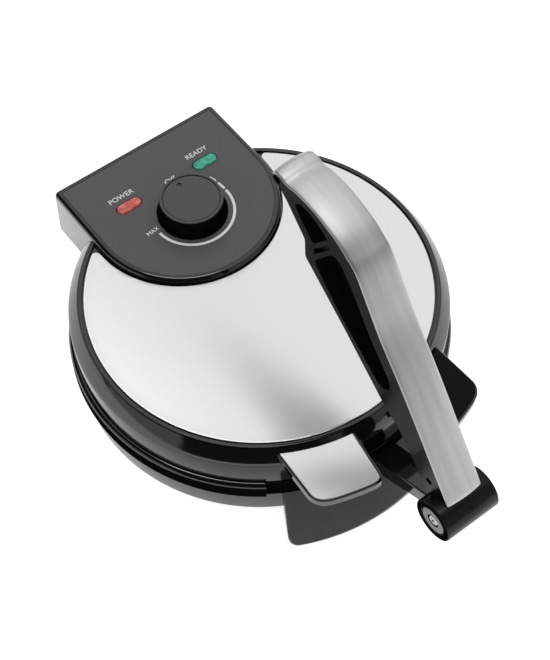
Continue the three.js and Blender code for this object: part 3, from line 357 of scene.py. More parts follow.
def flat(name, outline, low, high, edge=0.0, at=(0, 0), top=None):
    """A plate: an outline in millimetres, filled, raised to another level, where it can differ."""
    bpy.ops.object.select_all(action="DESELECT")
    bpy.ops.mesh.primitive_circle_add(vertices=len(outline), radius=MM, fill_type="NGON")
    piece = bpy.context.object
    piece.name = name
    y = BODY_Y + at[1] * MM
    for vertex, point in zip(piece.data.vertices, outline):
        vertex.co = (at[0] * MM + point[0] * MM, y + point[1] * MM, low * MM)
    bpy.ops.object.mode_set(mode="EDIT")
    bpy.ops.mesh.select_all(action="SELECT")
    rise = (0, 0, (high - low) * MM)
    bpy.ops.mesh.extrude_region_move(TRANSFORM_OT_translate={"value": rise})
    bpy.ops.object.mode_set(mode="OBJECT")
    if top:
        for vertex, point in zip(piece.data.vertices[len(outline):], top):
            vertex.co = (at[0] * MM + point[0] * MM, y + point[1] * MM, high * MM)
    finished(piece)
    if edge:
        edges_rounded(piece, edge)
        finished(piece)
    return piece


def carved(piece, cutter, operation="DIFFERENCE"):
    """Cuts a piece with another one, which is then thrown away."""
    bpy.context.view_layer.objects.active = piece
    knife = piece.modifiers.new("knife", "BOOLEAN")
    knife.operation = operation
    knife.solver = "EXACT"
    knife.object = cutter
    bpy.ops.object.modifier_apply(modifier=knife.name)
    bpy.data.objects.remove(cutter)
    return piece


def partly(piece, material, chosen):
    """Shows the faces that pass a test in a second material."""
    piece.data.materials.append(material)
    for face in piece.data.polygons:
        if chosen(face):
            face.material_index = 1


# Upright faces, which get painted shade on the bead and on the dial grip.
def is_painted_shade_side(face):
    return abs(face.normal.z) < UPRIGHT


bead = turned("base_bead", rounded(BEAD_LINE, BEAD_ROUNDING))
below, above = RIM_CUT
outside = turned("outside", [(THIN_RIM_RADIUS, below), (PAST_RIM, below),
                             (PAST_RIM, above), (THIN_RIM_RADIUS, above)])
front_arc = arc(PAST_RIM + PAST_CUT, -STEP_ANGLE, STEP_ANGLE, 24)
front = flat("front", [(0, 0), *front_arc], below - 1, above + 1)
carved(bead, carved(outside, front, "INTERSECT"))
edges_rounded(bead, BEAD_EDGE, 2)
fitted(finished(bead), "base", gloss_black, "gloss_black", "base_rim")
# The upright side gets the black that reflects nothing, as painted shade.
partly(bead, dull_and_painted_shade_black, is_painted_shade_side)

# Apron. A sloping satin black moulding under the left handle and the lever, from the thin rim down
# and out to the table, with a rounded lower corner and an upright strip along its lower edge.
APRON_ANGLES = (-30, 21)
APRON_FOOT = 152.1
APRON_CENTRE = (-11.1, -15.5)
APRON_LINE = [(139.3, 6), (172, 6), (172, 6.4), (169, 8.5), (140.4, 30.2), (139.3, 30.2)]
APRON_CORNER = 7
APRON_CORNER_ANGLE = 4
APRON_CORNER_REACH = 0.3
APRON_STEPS = 40
APRON_EDGE = 0.7
APRON_CUT = (2, 40)
satin_black = finish_of("satin_black_plastic", (0.078, 0.078, 0.080), (0.092, 0.092, 0.094),
                        0.36, 0.44, (900, 900, 900), 0.12)


def apron_point(degrees, beyond=0.0):
    """A point of the apron's foot, which runs on a tighter circle set forward and to the left."""
    x, y = polar(1, degrees)
    return polar(APRON_FOOT + APRON_CENTRE[0] * x + APRON_CENTRE[1] * y + beyond, degrees)


apron = turned("front_apron", APRON_LINE)
left, right = APRON_ANGLES
sweep = left + APRON_CORNER_ANGLE - right
foot_line = [apron_point(right + sweep * k / APRON_STEPS) for k in range(APRON_STEPS + 1)]
corner = rounded([foot_line[-1], apron_point(left, APRON_CORNER_REACH), (0, 0)],
                 [0, APRON_CORNER, 0], 8)
carved(apron, flat("apron_shape", [(0, 0), *foot_line, *corner[1:-1]], *APRON_CUT), "INTERSECT")
edges_rounded(apron, APRON_EDGE, 3, 38)
fitted(finished(apron), "base", satin_black, "satin_black", "front_skirt")

# Arm. A stout gloss black arm, moulded in one with the base, that rises from its front between the
# lift handles to the barrel of the lever, with its long edges rounded.
PIVOT_Y = -219
PIVOT_Z = 86
ARM_HALF = 10
ARM_EDGE = 1.2
ARM_OUTLINE = [(-209.1, 70.5), (-141.2, 29.9), (-141.2, 48.7), (-202.0, 79.0)]


def sideways(name, outline, x_span, edge=0.0):
    """A plate that stands on edge along the machine: outline points are (y, z) in millimetres."""
    piece = flat(name, outline, x_span[0], x_span[1], edge, (0, -BODY_Y / MM))
    piece.matrix_world = Matrix(((0, 0, 1, 0), (1, 0, 0, BODY_Y), (0, 1, 0, 0), (0, 0, 0, 1)))
    return finished(piece)


arm = sideways("front_arm", ARM_OUTLINE, (-ARM_HALF, ARM_HALF), ARM_EDGE)
fitted(arm, "base", gloss_black, "gloss_black", "lever_arm")

# Lid ring. The gloss black moulding of the lid: a short upright wall, a steep bezel above it, then a
# thin groove, a narrow raised bead and the dark groove that the steel cover lies in.
BEZEL_FOOT = (139.9, 72.0)
BEZEL_BEND = (135.9, 78.6)
BEZEL_HEAD = (132.4, 82.9)
BEZEL_STEPS = 8
RING_START = [(127.3, 49), (140, 49), (140, 71.0)]
RING_END = [
    (132.4, 82.1), (131.7, 82.1), (131.7, 83.5), (128.9, 83.5), (128.9, 81.5),
    (123, 81.5), (123, 79), (131, 79), (136.4, 71), (136.4, 52), (127.3, 52),
]
RING_ROUNDING = [0.3, 0.8, 0] + [0] * (BEZEL_STEPS + 1) + [0, 0, 0.6, 0.6, 0, 0, 0, 0.5, 2, 0.5, 0.3]
RING_SMOOTH_ANGLE = 26
RING_UPRIGHT = 0.25
HOUSING_HALF = 73.5
HOUSING_REAR = 166
HOUSING_CENTRE = 95
HOUSING_CORNER = 4
LEAST_CORNER = 0.3
HOUSING_LOW = 39
HOUSING_TOP = 89
HOUSING_STEPS = 64
REAR_LEAN = 4
SEAT_GAP = 0.3
SEAT_CUT = (68.7, 95)
wall_black = finish_of("lid_wall_black", (0.0035, 0.0035, 0.0038), (0.006, 0.006, 0.0065),
                       0.08, 0.12, (90, 90, 90), 0.012, Specular_IOR_Level=0.22)


def bent(start, bend, end):
    """Points on the curve that leaves start for bend and arrives at end from it."""
    line = []
    for k in range(BEZEL_STEPS + 1):
        t = k / BEZEL_STEPS
        line.append(tuple(
            (1 - t) ** 2 * a + 2 * t * (1 - t) * b + t * t * c for a, b, c in zip(start, bend, end)))
    return line


def housing_outline(inset, level):
    """The control housing seen from above; its rear wall leans forward from foot to top."""
    half = HOUSING_HALF - inset
    lean = REAR_LEAN * (level - HOUSING_LOW) / (HOUSING_TOP - HOUSING_LOW)
    rear = HOUSING_REAR - lean - inset
    front = [(x, y + HOUSING_CENTRE) for x, y in arc(half, -90, 90, HOUSING_STEPS)]
    corner = max(HOUSING_CORNER - inset, LEAST_CORNER)
    corners = [(half, HOUSING_CENTRE), (half, rear), (-half, rear), (-half, HOUSING_CENTRE)]
    return [*front, *rounded(corners, [0, corner, corner, 0])[1:-1]]


ring_line = [*RING_START, *bent(BEZEL_FOOT, BEZEL_BEND, BEZEL_HEAD), *RING_END]
ring = turned("lid_ring", rounded(ring_line, RING_ROUNDING, 4), angle=RING_SMOOTH_ANGLE)
carved(ring, flat("housing_seat", housing_outline(-SEAT_GAP, HOUSING_LOW), *SEAT_CUT))
fitted(finished(ring, RING_SMOOTH_ANGLE), "lid", gloss_black, "gloss_black", "lid_shell")
partly(ring, wall_black, lambda face: abs(face.normal.z) < RING_UPRIGHT)

# Steel cover. A disc of brushed stainless sheet, slightly domed, pressed round a notch for the
# control housing; the two tips that stand beside the housing are rounded.
COVER_RADIUS = 128
COVER_LEVEL = 83
COVER_DOME = 2
COVER_SHEET = 1
COVER_RINGS = (126, 120, 108, 90, 70, 48, 26, 8, 0)
COVER_ROLL = 0.9
ROLL_RISE = 0.1
COVER_EDGE = 0.35
COVER_SMOOTH_ANGLE = 50
COVER_GAP = 1.6
COVER_CUT = (70, 95)
TIP_RADIUS = 4
PAST_TIP = 1.03
NOTCH_SIDE = 100
NOTCH_REAR = (140, 180)
brushed_steel = finish_of("brushed_steel_sheet", (0.80, 0.80, 0.805), (0.81, 0.81, 0.815),
                          0.275, 0.285, (30, 3200, 30), 0.0015, metallic=1.0, Anisotropic=1.0)
steel_tree = brushed_steel.node_tree
brush = steel_tree.nodes.new("ShaderNodeCombineXYZ")
brush.inputs["Y"].default_value = 1
steel_tree.links.new(brush.outputs[0], steel_tree.nodes["Principled BSDF"].inputs["Tangent"])

cover_top = [(r, COVER_LEVEL + COVER_DOME * (1 - (r / COVER_RADIUS) ** 2)) for r in COVER_RINGS]
cover_under = [(r, z - COVER_SHEET) for r, z in reversed(cover_top)]
rim = [(COVER_RADIUS, COVER_LEVEL - COVER_SHEET), (COVER_RADIUS, COVER_LEVEL + ROLL_RISE)]
cover_line = [*cover_under, rim[0], *rounded([cover_top[0], *rim], [0, 0, COVER_ROLL])[2:], *cover_top]
cover = turned("steel_cover", cover_line, angle=COVER_SMOOTH_ANGLE)
side = HOUSING_HALF + COVER_GAP
tip_x = side + TIP_RADIUS
tip_y = math.sqrt((COVER_RADIUS - TIP_RADIUS) ** 2 - tip_x ** 2)
tip_turn = 90 + math.degrees(math.atan2(tip_y, tip_x))
tip = [(tip_x + x, tip_y + y) for x, y in arc(TIP_RADIUS, 270, tip_turn, 10)]
notch_right = [*tip, (tip[-1][0] * PAST_TIP, tip[-1][1] * PAST_TIP), *[(NOTCH_SIDE, y) for y in NOTCH_REAR]]
notch_front = [(x, y + HOUSING_CENTRE) for x, y in arc(side, -90, 90, 72)]
notch = [*notch_front, *notch_right, *[(-x, y) for x, y in reversed(notch_right)]]
carved(cover, flat("cover_notch", notch, *COVER_CUT))
edges_rounded(cover, COVER_EDGE, 3, 60)
fitted(finished(cover, COVER_SMOOTH_ANGLE), "lid", brushed_steel, "brushed_steel", "lid_cover")

# Lift handles. Two flat lugs of gloss black plastic that stand out from the lid's wall, each with a
# rounded rim and a thin plate let into its top. The left plate is bright steel, the right one dark.
TAB_INNER = (24.9, 18.6)
TAB_OUTER = (73.6, 71.2)
TAB_FRONT = 177
TAB_BACK = 135
TAB_TOP = 80.5
TAB_THICKNESS = 8
TAB_CORNERS = (6, 13)
POINT_GAP = 0.5
TAB_EDGE = 1.3
BED_GAP = 0.3
BED_BACK = 133
BED_CUT_TOP = TAB_TOP + 3
PLATE_BACK = 134
PLATE_BORDER = 1.7
PLATE_SHEET = 1.2
PLATE_LIFT = 0.05
PLATE_SINK = 0.1
PLATE_EDGE = 0.3
LID_CUT_INSIDE = 100
LID_CUT_BELOW = 60
LUG_TO_LID = [(140.2, 72.2), (136.1, 79.4), (132.7, 83.1)]
PLATE_TO_LID = [(140.5, 72.2), (136.4, 79.6), (133.0, 83.4)]
dark_plate = finish_of("dark_satin_plate", (0.004, 0.004, 0.0042), (0.006, 0.006, 0.0062),
                       0.20, 0.26, (300, 300, 300), 0.02, Specular_IOR_Level=0.05)
handle_steel = finish_of("handle_steel_sheet", (0.76, 0.76, 0.765), (0.79, 0.79, 0.795),
                         0.31, 0.34, (30, 3200, 30), 0.007, metallic=1.0)


def tab_outline(inset, back_radius):
    """A right handle seen from above: wider at the lid, its front runs round with the lid."""
    front = TAB_FRONT - inset
    inner, inner_back = (x + inset for x in TAB_INNER)
    outer, outer_back = (x - inset for x in TAB_OUTER)
    edge = [polar(front, math.degrees(math.asin(x / front)))
            for x in (inner + (outer - inner) * k / 24 for k in range(25))]
    behind = [polar(back_radius, math.degrees(math.asin(x / back_radius)))
              for x in (outer_back + (inner_back - outer_back) * k / 12 for k in range(13))]
    line = rounded([behind[-1], edge[0], edge[6]], [0, TAB_CORNERS[0] - inset, 0], 8)[1:-1]
    turn = rounded([edge[14], edge[24], behind[0]], [0, TAB_CORNERS[1] - inset, 0], 12)[1:-1]
    middle = [p for p in edge if line[-1][0] + POINT_GAP < p[0] < turn[0][0] - POINT_GAP]
    return [*line, *middle, *turn, *behind]


def mirrored(points):
    return [(-x, y) for x, y in reversed(points)]


def lid_body(bezel):
    """The outside of the lid, a little large, to cut what stands against it."""
    foot, head = bezel[0], bezel[-1]
    line = [(LID_CUT_INSIDE, LID_CUT_BELOW), (foot[0], LID_CUT_BELOW), foot, *bent(*bezel),
            (LID_CUT_INSIDE, head[1])]
    return turned("lid_body", line)


for side_name, flip, plate_finish in (("right", list, dark_plate), ("left", mirrored, handle_steel)):
    outline = flip(tab_outline(0, TAB_BACK))
    lug = flat("lift_handle_" + side_name, outline, TAB_TOP - TAB_THICKNESS, TAB_TOP)
    edges_rounded(lug, TAB_EDGE, 4)
    bed_outline = flip(tab_outline(PLATE_BORDER - BED_GAP, BED_BACK))
    bed = flat("bed", bed_outline, TAB_TOP - PLATE_SHEET, BED_CUT_TOP)
    carved(finished(lug), bed)
    carved(lug, lid_body(LUG_TO_LID))
    fitted(finished(lug), "lid", gloss_black, "gloss_black", "handle_" + side_name)
    plate_outline = flip(tab_outline(PLATE_BORDER, PLATE_BACK))
    plate = flat("handle_sheet_" + side_name, plate_outline,
                 TAB_TOP - PLATE_SHEET + PLATE_LIFT, TAB_TOP - PLATE_SINK)
    carved(plate, lid_body(PLATE_TO_LID))
    edges_rounded(plate, PLATE_EDGE)
    fitted(finished(plate), "lid", plate_finish, "brushed_steel", "handle_plate_" + side_name)

# Control housing. A gloss black moulding with a well rounded shoulder, whose rear wall leans forward.
# It stands on the back of the lid, runs down behind its wall and is hollow from below.
SHOULDER = 5.0
PANEL_INSET = 4.7
PANEL_SHEET = 2
PANEL_CUT_TOP = 100
HOUSING_WALL = 3
HOLLOW_LOW = 29
HOLLOW_TOP = 83
FOOT_TRIM = [(-90, 0), (90, 0), (90, 180), (-90, 180)]
FOOT_CUT = (10, 43)
LID_ROOM = [(0, 10), (146.8, 10), (146.8, 49), (140.3, 49), (140.3, 69), (0, 69)]
HINGE_ROOM = [(-47, 155), (47, 155), (47, 180), (-47, 180)]
HINGE_CUT = (10, 56)
housing = flat("control_body", housing_outline(0, HOUSING_LOW), HOUSING_LOW, HOUSING_TOP,
               top=housing_outline(0, HOUSING_TOP))
edges_rounded(housing, SHOULDER, 8)
hollow = flat("hollow", housing_outline(HOUSING_WALL, HOLLOW_LOW), HOLLOW_LOW, HOLLOW_TOP,
              top=housing_outline(HOUSING_WALL, HOLLOW_TOP))
carved(finished(housing), hollow)
panel_room = housing_outline(PANEL_INSET, HOUSING_TOP)
carved(housing, flat("panel_seat", panel_room, HOUSING_TOP - PANEL_SHEET, PANEL_CUT_TOP))
carved(housing, flat("below", FOOT_TRIM, *FOOT_CUT))
carved(housing, turned("lid_room", LID_ROOM))
carved(housing, flat("hinge_room", HINGE_ROOM, *HINGE_CUT))
fitted(finished(housing), "lid", gloss_black, "gloss_black", "control_housing")

# Control panel. A matte dark grey plate let into the top of the housing, with holes for the lamps
# and a round opening for the dial. Its words and the scale round the dial are printed in white.
PANEL_GAP = 0.2
PANEL_EDGE = 0.3
HOLE_CUT = (80, 100)
LAMP_X = 35
LAMP_Y = 116
LENS_HALF = (10.3, 4.5)
LENS_GAP = 0.6
DIAL_Y = 83
DIAL_OPENING = 27.0
PRINT_HEIGHT = 0.1
WORDS = [
    # name, word, letter size, place, turn
    ("word_power", "POWER", 6.2, (-35.2, 126.6), 0),
    ("word_ready", "READY", 6.2, (34.9, 127.3), 0),
    ("word_max", "MAX", 4.9, (-34.4, 85.3), 5),
    ("word_off", "Off", 7.2, (3.4, 116.8), 0),
]
SCALE_STEPS = 64
SCALE_BANDS = [
    # from, to in degrees from the front, radius and half width at each end
    (-86, 92, (31.2, 31.8), (1.05, 1.05)),
    (95, 108.5, (31.8, 32.6), (0.95, 0.95)),
    (112, 122.5, (33.1, 34.9), (0.9, 0.4)),
]
panel_grey = finish_of("panel_grey_plastic", (0.058, 0.058, 0.059), (0.068, 0.068, 0.069),
                       0.46, 0.56, (1500, 1500, 1500), 0.10)
white_print = finish_of("white_print", (0.74, 0.74, 0.74), (0.80, 0.80, 0.80),
                        0.45, 0.55, (800, 800, 800), 0.03)


def pill(side, grow):
    """The outline of a lamp on the left (-1) or the right (1)."""
    length, width = LENS_HALF
    reach = length - width
    end = [(reach + x, y) for x, y in arc(width + grow, 0, 180, 12)]
    return [(side * LAMP_X + x, LAMP_Y + y) for x, y in [*end, *[(-x, -y) for x, y in end]]]


panel_outline = housing_outline(PANEL_INSET + PANEL_GAP, HOUSING_TOP)
panel = flat("control_plate", panel_outline, HOUSING_TOP - PANEL_SHEET, HOUSING_TOP, PANEL_EDGE)
for side in (-1, 1):
    carved(panel, flat("lamp_hole", pill(side, LENS_GAP), *HOLE_CUT))
below, above = HOLE_CUT
opening = [(0, below), (DIAL_OPENING, below), (DIAL_OPENING, above), (0, above)]
carved(panel, turned("dial_hole", opening, 96, (0, DIAL_Y)))
fitted(finished(panel), "lid", panel_grey, "panel_grey", "control_panel")
for name, word, size, place, turn in WORDS:
    bpy.ops.object.select_all(action="DESELECT")
    bpy.ops.object.text_add()
    letters = bpy.context.object
    letters.data.body = word
    letters.data.size = size * MM
    letters.data.align_x = "CENTER"
    letters.data.align_y = "CENTER"
    letters.data.extrude = PRINT_HEIGHT * MM / 2
    letters.location = (place[0] * MM, BODY_Y + place[1] * MM, (HOUSING_TOP + PRINT_HEIGHT / 2) * MM)
    letters.rotation_euler = (0, 0, math.radians(turn))
    bpy.ops.object.convert(target="MESH")
    letters = bpy.context.object
    letters.name = name
    fitted(finished(letters), "lid", white_print, None)
for number, (start, end, radii, halves) in enumerate(SCALE_BANDS, 1):
    inner, outer = [], []
    for share in (k / SCALE_STEPS for k in range(SCALE_STEPS + 1)):
        radius = radii[0] + (radii[1] - radii[0]) * share
        half = halves[0] + (halves[1] - halves[0]) * share
        for line, reach in ((inner, radius - half), (outer, radius + half)):
            x, y = polar(reach, start + (end - start) * share)
            line.append((x, y + DIAL_Y))
    band_outline = [*inner, *reversed(outer)]
    band = flat(f"dial_scale_{number}", band_outline, HOUSING_TOP, HOUSING_TOP + PRINT_HEIGHT)
    fitted(band, "lid", white_print, None)

# Dial. A round black grip with straight sides, painted as shade in a black that reflects nothing, a flat
# grey face inside a narrow rim and one dimple as its mark; below it a dull black ring lines the opening in
# the panel.
LINING_LINE = [(3.6, 87.8), (26.7, 87.8), (26.7, 88.7), (25.6, 88.7), (25.2, 88.1), (3.6, 88.1)]
LINING_ROUNDING = [0, 0.2, 0.3, 0.2, 0.1, 0]
KNOB_LINE = [(0, 89.6), (24.3, 89.6), (23.9, 105), (21.9, 105), (21.6, 104.2), (21.2, 104.2),
             (20.9, 104.6), (0, 104.6)]
KNOB_ROUNDING = [0, 0.3, 0.9, 0.25, 0.1, 0.1, 0.25, 0]
DIMPLE_LINE = [(0, 103.5), (1.8, 103.5), (2.3, 107), (0, 107)]
DIMPLE_ROUNDING = [0, 0.5, 0, 0]
DIMPLE_REACH = 15.6
satin_grip = finish_of("satin_black_grip", (0.038, 0.038, 0.0385), (0.048, 0.048, 0.0485),
                       0.34, 0.42, (1200, 1200, 1200), 0.06)
lining = turned("dial_lining", rounded(LINING_LINE, LINING_ROUNDING), 96, (0, DIAL_Y))
fitted(lining, "lid", dull_and_painted_shade_black, "gloss_black", "dial_ring")
grip = turned("dial_grip", rounded(KNOB_LINE, KNOB_ROUNDING, 4), 120, (0, DIAL_Y))
carved(grip, turned("dimple", rounded(DIMPLE_LINE, DIMPLE_ROUNDING), 24, (0, DIAL_Y + DIMPLE_REACH)))
fitted(finished(grip), "dial", satin_grip, "gloss_black", "dial_knob")
# The upright sides get the black that reflects nothing, as painted shade.
partly(grip, dull_and_painted_shade_black, is_painted_shade_side)

# Lamps. Two pill-shaped lenses of clear coloured plastic, red and green, with rounded tops. They are
# pushed up from below through the holes in the panel and stand a little above it.
LENS_FOOT = 83.2
LENS_TOP = 90.1
LENS_EDGE = 1.5
LENSES = [
    # side, name, slot, dark and light colour
    (-1, "power", "red_lens", (0.38, 0.03, 0.03), (0.78, 0.20, 0.17)),
    (1, "ready", "green_lens", (0.01, 0.20, 0.12), (0.07, 0.52, 0.36)),
]
for side, name, slot, dark, light in LENSES:
    lens_finish = finish_of(slot, dark, light, 0.10, 0.16, (260, 260, 260), 0.05)
    lens = flat(f"{name}_light", pill(side, 0), LENS_FOOT, LENS_TOP)
    edges_rounded(lens, LENS_EDGE, 5)
    fitted(finished(lens), "lid", lens_finish, slot, f"{name}_lens")

# Lever frame. A black plastic frame, seen on edge as a long bent blade: deep pockets are sunk into
# both sides up to a web in the middle, with a cross rib below the bend and a screw hole at the foot.
# Its outlines are given as shares of the lever's length, from the pivot back and up.
LEVER = 252
BARREL_RADIUS = 16.3
SHEET = 1.2
SHEET_GAP = 0.3
FRAME_GAP = 0.5
FRAME_HALF = 13.9
FRAME_EDGE = 0.9
WEB_HALF = 1.5
PAST_SIDE = 20
BACK_ANGLE = 194
FOOT_ANGLES = (114, 185)
BACK = [(0.05, 0.163), (0.143, 0.294), (0.214, 0.389), (0.29, 0.484), (0.34, 0.56), (0.393, 0.639),
        (0.43, 0.668), (0.48, 0.694), (0.555, 0.714), (0.619, 0.716), (0.664, 0.709)]
TIP = [(0.684, 0.714), (0.704, 0.714), (0.719, 0.705)]
NOSE = [(0.727, 0.689), (0.72, 0.677), (0.703, 0.671)]
BELLY = [(0.692, 0.667), (0.666, 0.646), (0.593, 0.567), (0.59, 0.5), (0.575, 0.487),
         (0.425, 0.365), (0.266, 0.226), (0.19, 0.178), (0.115, 0.091)]
BELLY_ROUNDING = [0, 1, 8, 5, 4, 5, 0, 0, 20, 10, 0]
LONG_POCKET = [(0.245, 0.305), (0.262, 0.288), (0.285, 0.286), (0.454, 0.417), (0.54, 0.503), (0.551, 0.525),
               (0.493, 0.609), (0.472, 0.622), (0.441, 0.603), (0.4, 0.553), (0.362, 0.493), (0.325, 0.44),
               (0.284, 0.392), (0.25, 0.35), (0.241, 0.325)]
TIP_POCKET = [(0.56, 0.583), (0.6, 0.624), (0.635, 0.664), (0.612, 0.687), (0.579, 0.688), (0.54, 0.676),
              (0.504, 0.658)]
NOSE_POCKET = [(0.69, 0.7), (0.712, 0.7), (0.719, 0.69), (0.712, 0.68), (0.695, 0.677)]
RIB_GROOVE = [(0.552, 0.548), (0.497, 0.626), (0.5, 0.641), (0.557, 0.565)]
HOLLOWS = [
    # outline, rounding, how far from the middle its floor lies
    (LONG_POCKET, 2.0, WEB_HALF),
    (TIP_POCKET, 2.0, WEB_HALF),
    (NOSE_POCKET, 0.8, 8),
    (RIB_GROOVE, 0.6, 10),
]
HOLLOW_EDGE = 0.5
SCREW_HOLE = (0.063, 0.09)
SCREW_HOLE_RADIUS = 2.8
SCREW_HOLE_FLOOR = 9
blade_black = finish_of("blade_black_plastic", (0.004, 0.004, 0.0042), (0.006, 0.006, 0.0062),
                        0.23, 0.25, (120, 120, 120), 0.004, Specular_IOR_Level=0.07)


def of_lever(shares):
    return [(y * LEVER, z * LEVER) for y, z in shares]


def from_pivot(points):
    return [(PIVOT_Y + y, PIVOT_Z + z) for y, z in points]


def smooth_line(points, steps):
    """Points on a smooth curve through the given ones, the given ones among them."""
    line = []
    for i in range(len(points) - 1):
        p = [Vector(points[max(0, min(len(points) - 1, i + k))]) for k in (-1, 0, 1, 2)]
        along, bend = (p[2] - p[0]) / 2, (p[3] - p[1]) / 2
        for t in (k / steps for k in range(steps)):
            line.append(tuple((2 * t ** 3 - 3 * t * t + 1) * p[1] + (t ** 3 - 2 * t * t + t) * along
                              + (3 * t * t - 2 * t ** 3) * p[2] + (t ** 3 - t * t) * bend))
    return [*line, tuple(points[-1])]


def moved_in(points, distance):
    """The same line moved towards the belly of the lever."""
    line = []
    for i, (y, z) in enumerate(points):
        (y0, z0), (y1, z1) = points[max(i - 1, 0)], points[min(i + 1, len(points) - 1)]
        length = math.hypot(y1 - y0, z1 - z0)
        line.append((y + distance * (z1 - z0) / length, z - distance * (y1 - y0) / length))
    return line


def laid(name, line, sides, rounding, axis=(PIVOT_Y, PIVOT_Z)):
    """A turned piece laid across the machine, its line given as (radius, x)."""
    piece = turned(name, rounded(line, rounding, 4), sides, (0, -BODY_Y / MM))
    place = (0, BODY_Y + axis[0] * MM, axis[1] * MM)
    piece.matrix_world = Matrix.Translation(place) @ Matrix.Rotation(math.pi / 2, 4, "Y")
    return finished(piece)


back_start = polar(BARREL_RADIUS + SHEET_GAP + SHEET, BACK_ANGLE)
back_line = smooth_line([back_start, *of_lever(BACK), *of_lever(TIP)], 6)
frame_back = moved_in(back_line, SHEET + SHEET_GAP)[2:]
nose = smooth_line(of_lever(NOSE), 5)
foot = arc(BARREL_RADIUS + FRAME_GAP, *FOOT_ANGLES, 12)
belly = rounded([nose[-1], *of_lever(BELLY), foot[0]], BELLY_ROUNDING)[1:-1]
blade_outline = from_pivot([*foot, *frame_back, *nose, *belly])
blade = sideways("lever_blade", blade_outline, (-FRAME_HALF, FRAME_HALF))
edges_rounded(blade, FRAME_EDGE, 4)
finished(blade)
for hollow_outline, corner, floor in HOLLOWS:
    shape = from_pivot(rounded(of_lever(hollow_outline), [corner] * len(hollow_outline), 3))
    for x_span in ((floor, PAST_SIDE), (-PAST_SIDE, -floor)):
        carved(blade, sideways("pocket", shape, x_span))
edges_rounded(blade, HOLLOW_EDGE, 3, 60)
[hole_axis] = from_pivot(of_lever([SCREW_HOLE]))
for start, end in ((SCREW_HOLE_FLOOR, PAST_SIDE), (-PAST_SIDE, -SCREW_HOLE_FLOOR)):
    hole = [(0, start), (SCREW_HOLE_RADIUS, start), (SCREW_HOLE_RADIUS, end), (0, end)]
    carved(blade, laid("screw_hole", hole, 32, [0] * 4, hole_axis))
fitted(finished(blade), "lever", blade_black, "gloss_black", "lever_frame")

# Lever cover. A strip of satin silver sheet that is crowned across, follows the back of the lever from
# the barrel up, and rolls over at the tip.
COVER_HALF = 14.5
CROWN = 1.6
CROSS_STEPS = 20
TUCK = 0.5
TUCK_FROM = 0.9
SHEET_EDGE = 0.3
SHEET_SMOOTH_ANGLE = 50
satin_silver = finish_of("satin_silver_sheet", (0.48, 0.48, 0.485), (0.60, 0.60, 0.605),
                         0.44, 0.50, (160, 12, 12), 0.03, metallic=1.0)
bpy.ops.object.select_all(action="DESELECT")
bpy.ops.mesh.primitive_grid_add(x_subdivisions=CROSS_STEPS, y_subdivisions=len(back_line) - 1, size=MM)
strip = bpy.context.object
strip.name = "lever_sheet"
one_under = moved_in(back_line, 1)
for vertex in strip.data.vertices:
    row, column = divmod(vertex.index, CROSS_STEPS + 1)
    share = 2 * column / CROSS_STEPS - 1
    tucked = TUCK * max(0, abs(share) - TUCK_FROM) / (1 - TUCK_FROM)
    lift = CROWN * (1 - share ** 2) - tucked
    y, z = back_line[row]
    under_y, under_z = one_under[row]
    y, z = y + (y - under_y) * lift, z + (z - under_z) * lift
    vertex.co = (share * COVER_HALF * MM, BODY_Y + (PIVOT_Y + y) * MM, (PIVOT_Z + z) * MM)
thick = strip.modifiers.new("sheet", "SOLIDIFY")
thick.thickness = SHEET * MM
thick.offset = -1
bpy.ops.object.modifier_apply(modifier=thick.name)
edges_rounded(strip, SHEET_EDGE, 2, 60)
fitted(finished(strip, SHEET_SMOOTH_ANGLE), "lever", satin_silver, "satin_silver", "lever_cover")

# Barrel. The lever's knuckle: a black drum across the machine with rounded, recessed ends, a fine seam
# round its middle and a slot behind, below and in front where the arm of the base passes.
BARREL_HALF = 22
BARREL_BORE = 4.3
BARREL_ROUNDING = [0, 0, 0.4, 1.2, 0, 0, 0, 1.2, 0.4, 0, 0]
RECESS_RADIUS = 10.9
RECESS_FLOOR = 18.9
SEAM_HALF = 0.15
SEAM_RADIUS = 16.1
SLOT_HALF = 10.4
SLOT_FLOOR = 11.9
SLOT_REACH = 30
SLOT_ANGLES = (-72, 117)
END_FACING = 0.9
frame_black = finish_of("frame_black_plastic", (0.004, 0.004, 0.0042), (0.006, 0.006, 0.0062),
                        0.23, 0.25, (120, 120, 120), 0.004, Specular_IOR_Level=0.18)
half_line = [(BARREL_BORE, RECESS_FLOOR), (RECESS_RADIUS, RECESS_FLOOR), (RECESS_RADIUS, BARREL_HALF),
             (BARREL_RADIUS, BARREL_HALF), (BARREL_RADIUS, SEAM_HALF)]
barrel_line = [*[(r, -x) for r, x in half_line], (SEAM_RADIUS, 0), *reversed(half_line)]
barrel = laid("lever_drum", barrel_line, 120, BARREL_ROUNDING)
slot_line = [(0, -SLOT_HALF), (SLOT_FLOOR, -SLOT_HALF), (SLOT_FLOOR, SLOT_HALF), (0, SLOT_HALF)]
slot_inner = laid("slot_inner", slot_line, 96, [0] * 4)
slot_fan = from_pivot([(0, 0), *arc(SLOT_REACH, *SLOT_ANGLES, 24)])
slot_outer = sideways("slot_outer", slot_fan, (-SLOT_HALF, SLOT_HALF))
carved(barrel, slot_inner)
carved(barrel, slot_outer)
fitted(finished(barrel), "lever_pivot", frame_black, "gloss_black", "lever_barrel")
# The end faces get the black that reflects nothing, as painted shade.
partly(barrel, dull_and_painted_shade_black, lambda face: abs(face.normal.x) > END_FACING)

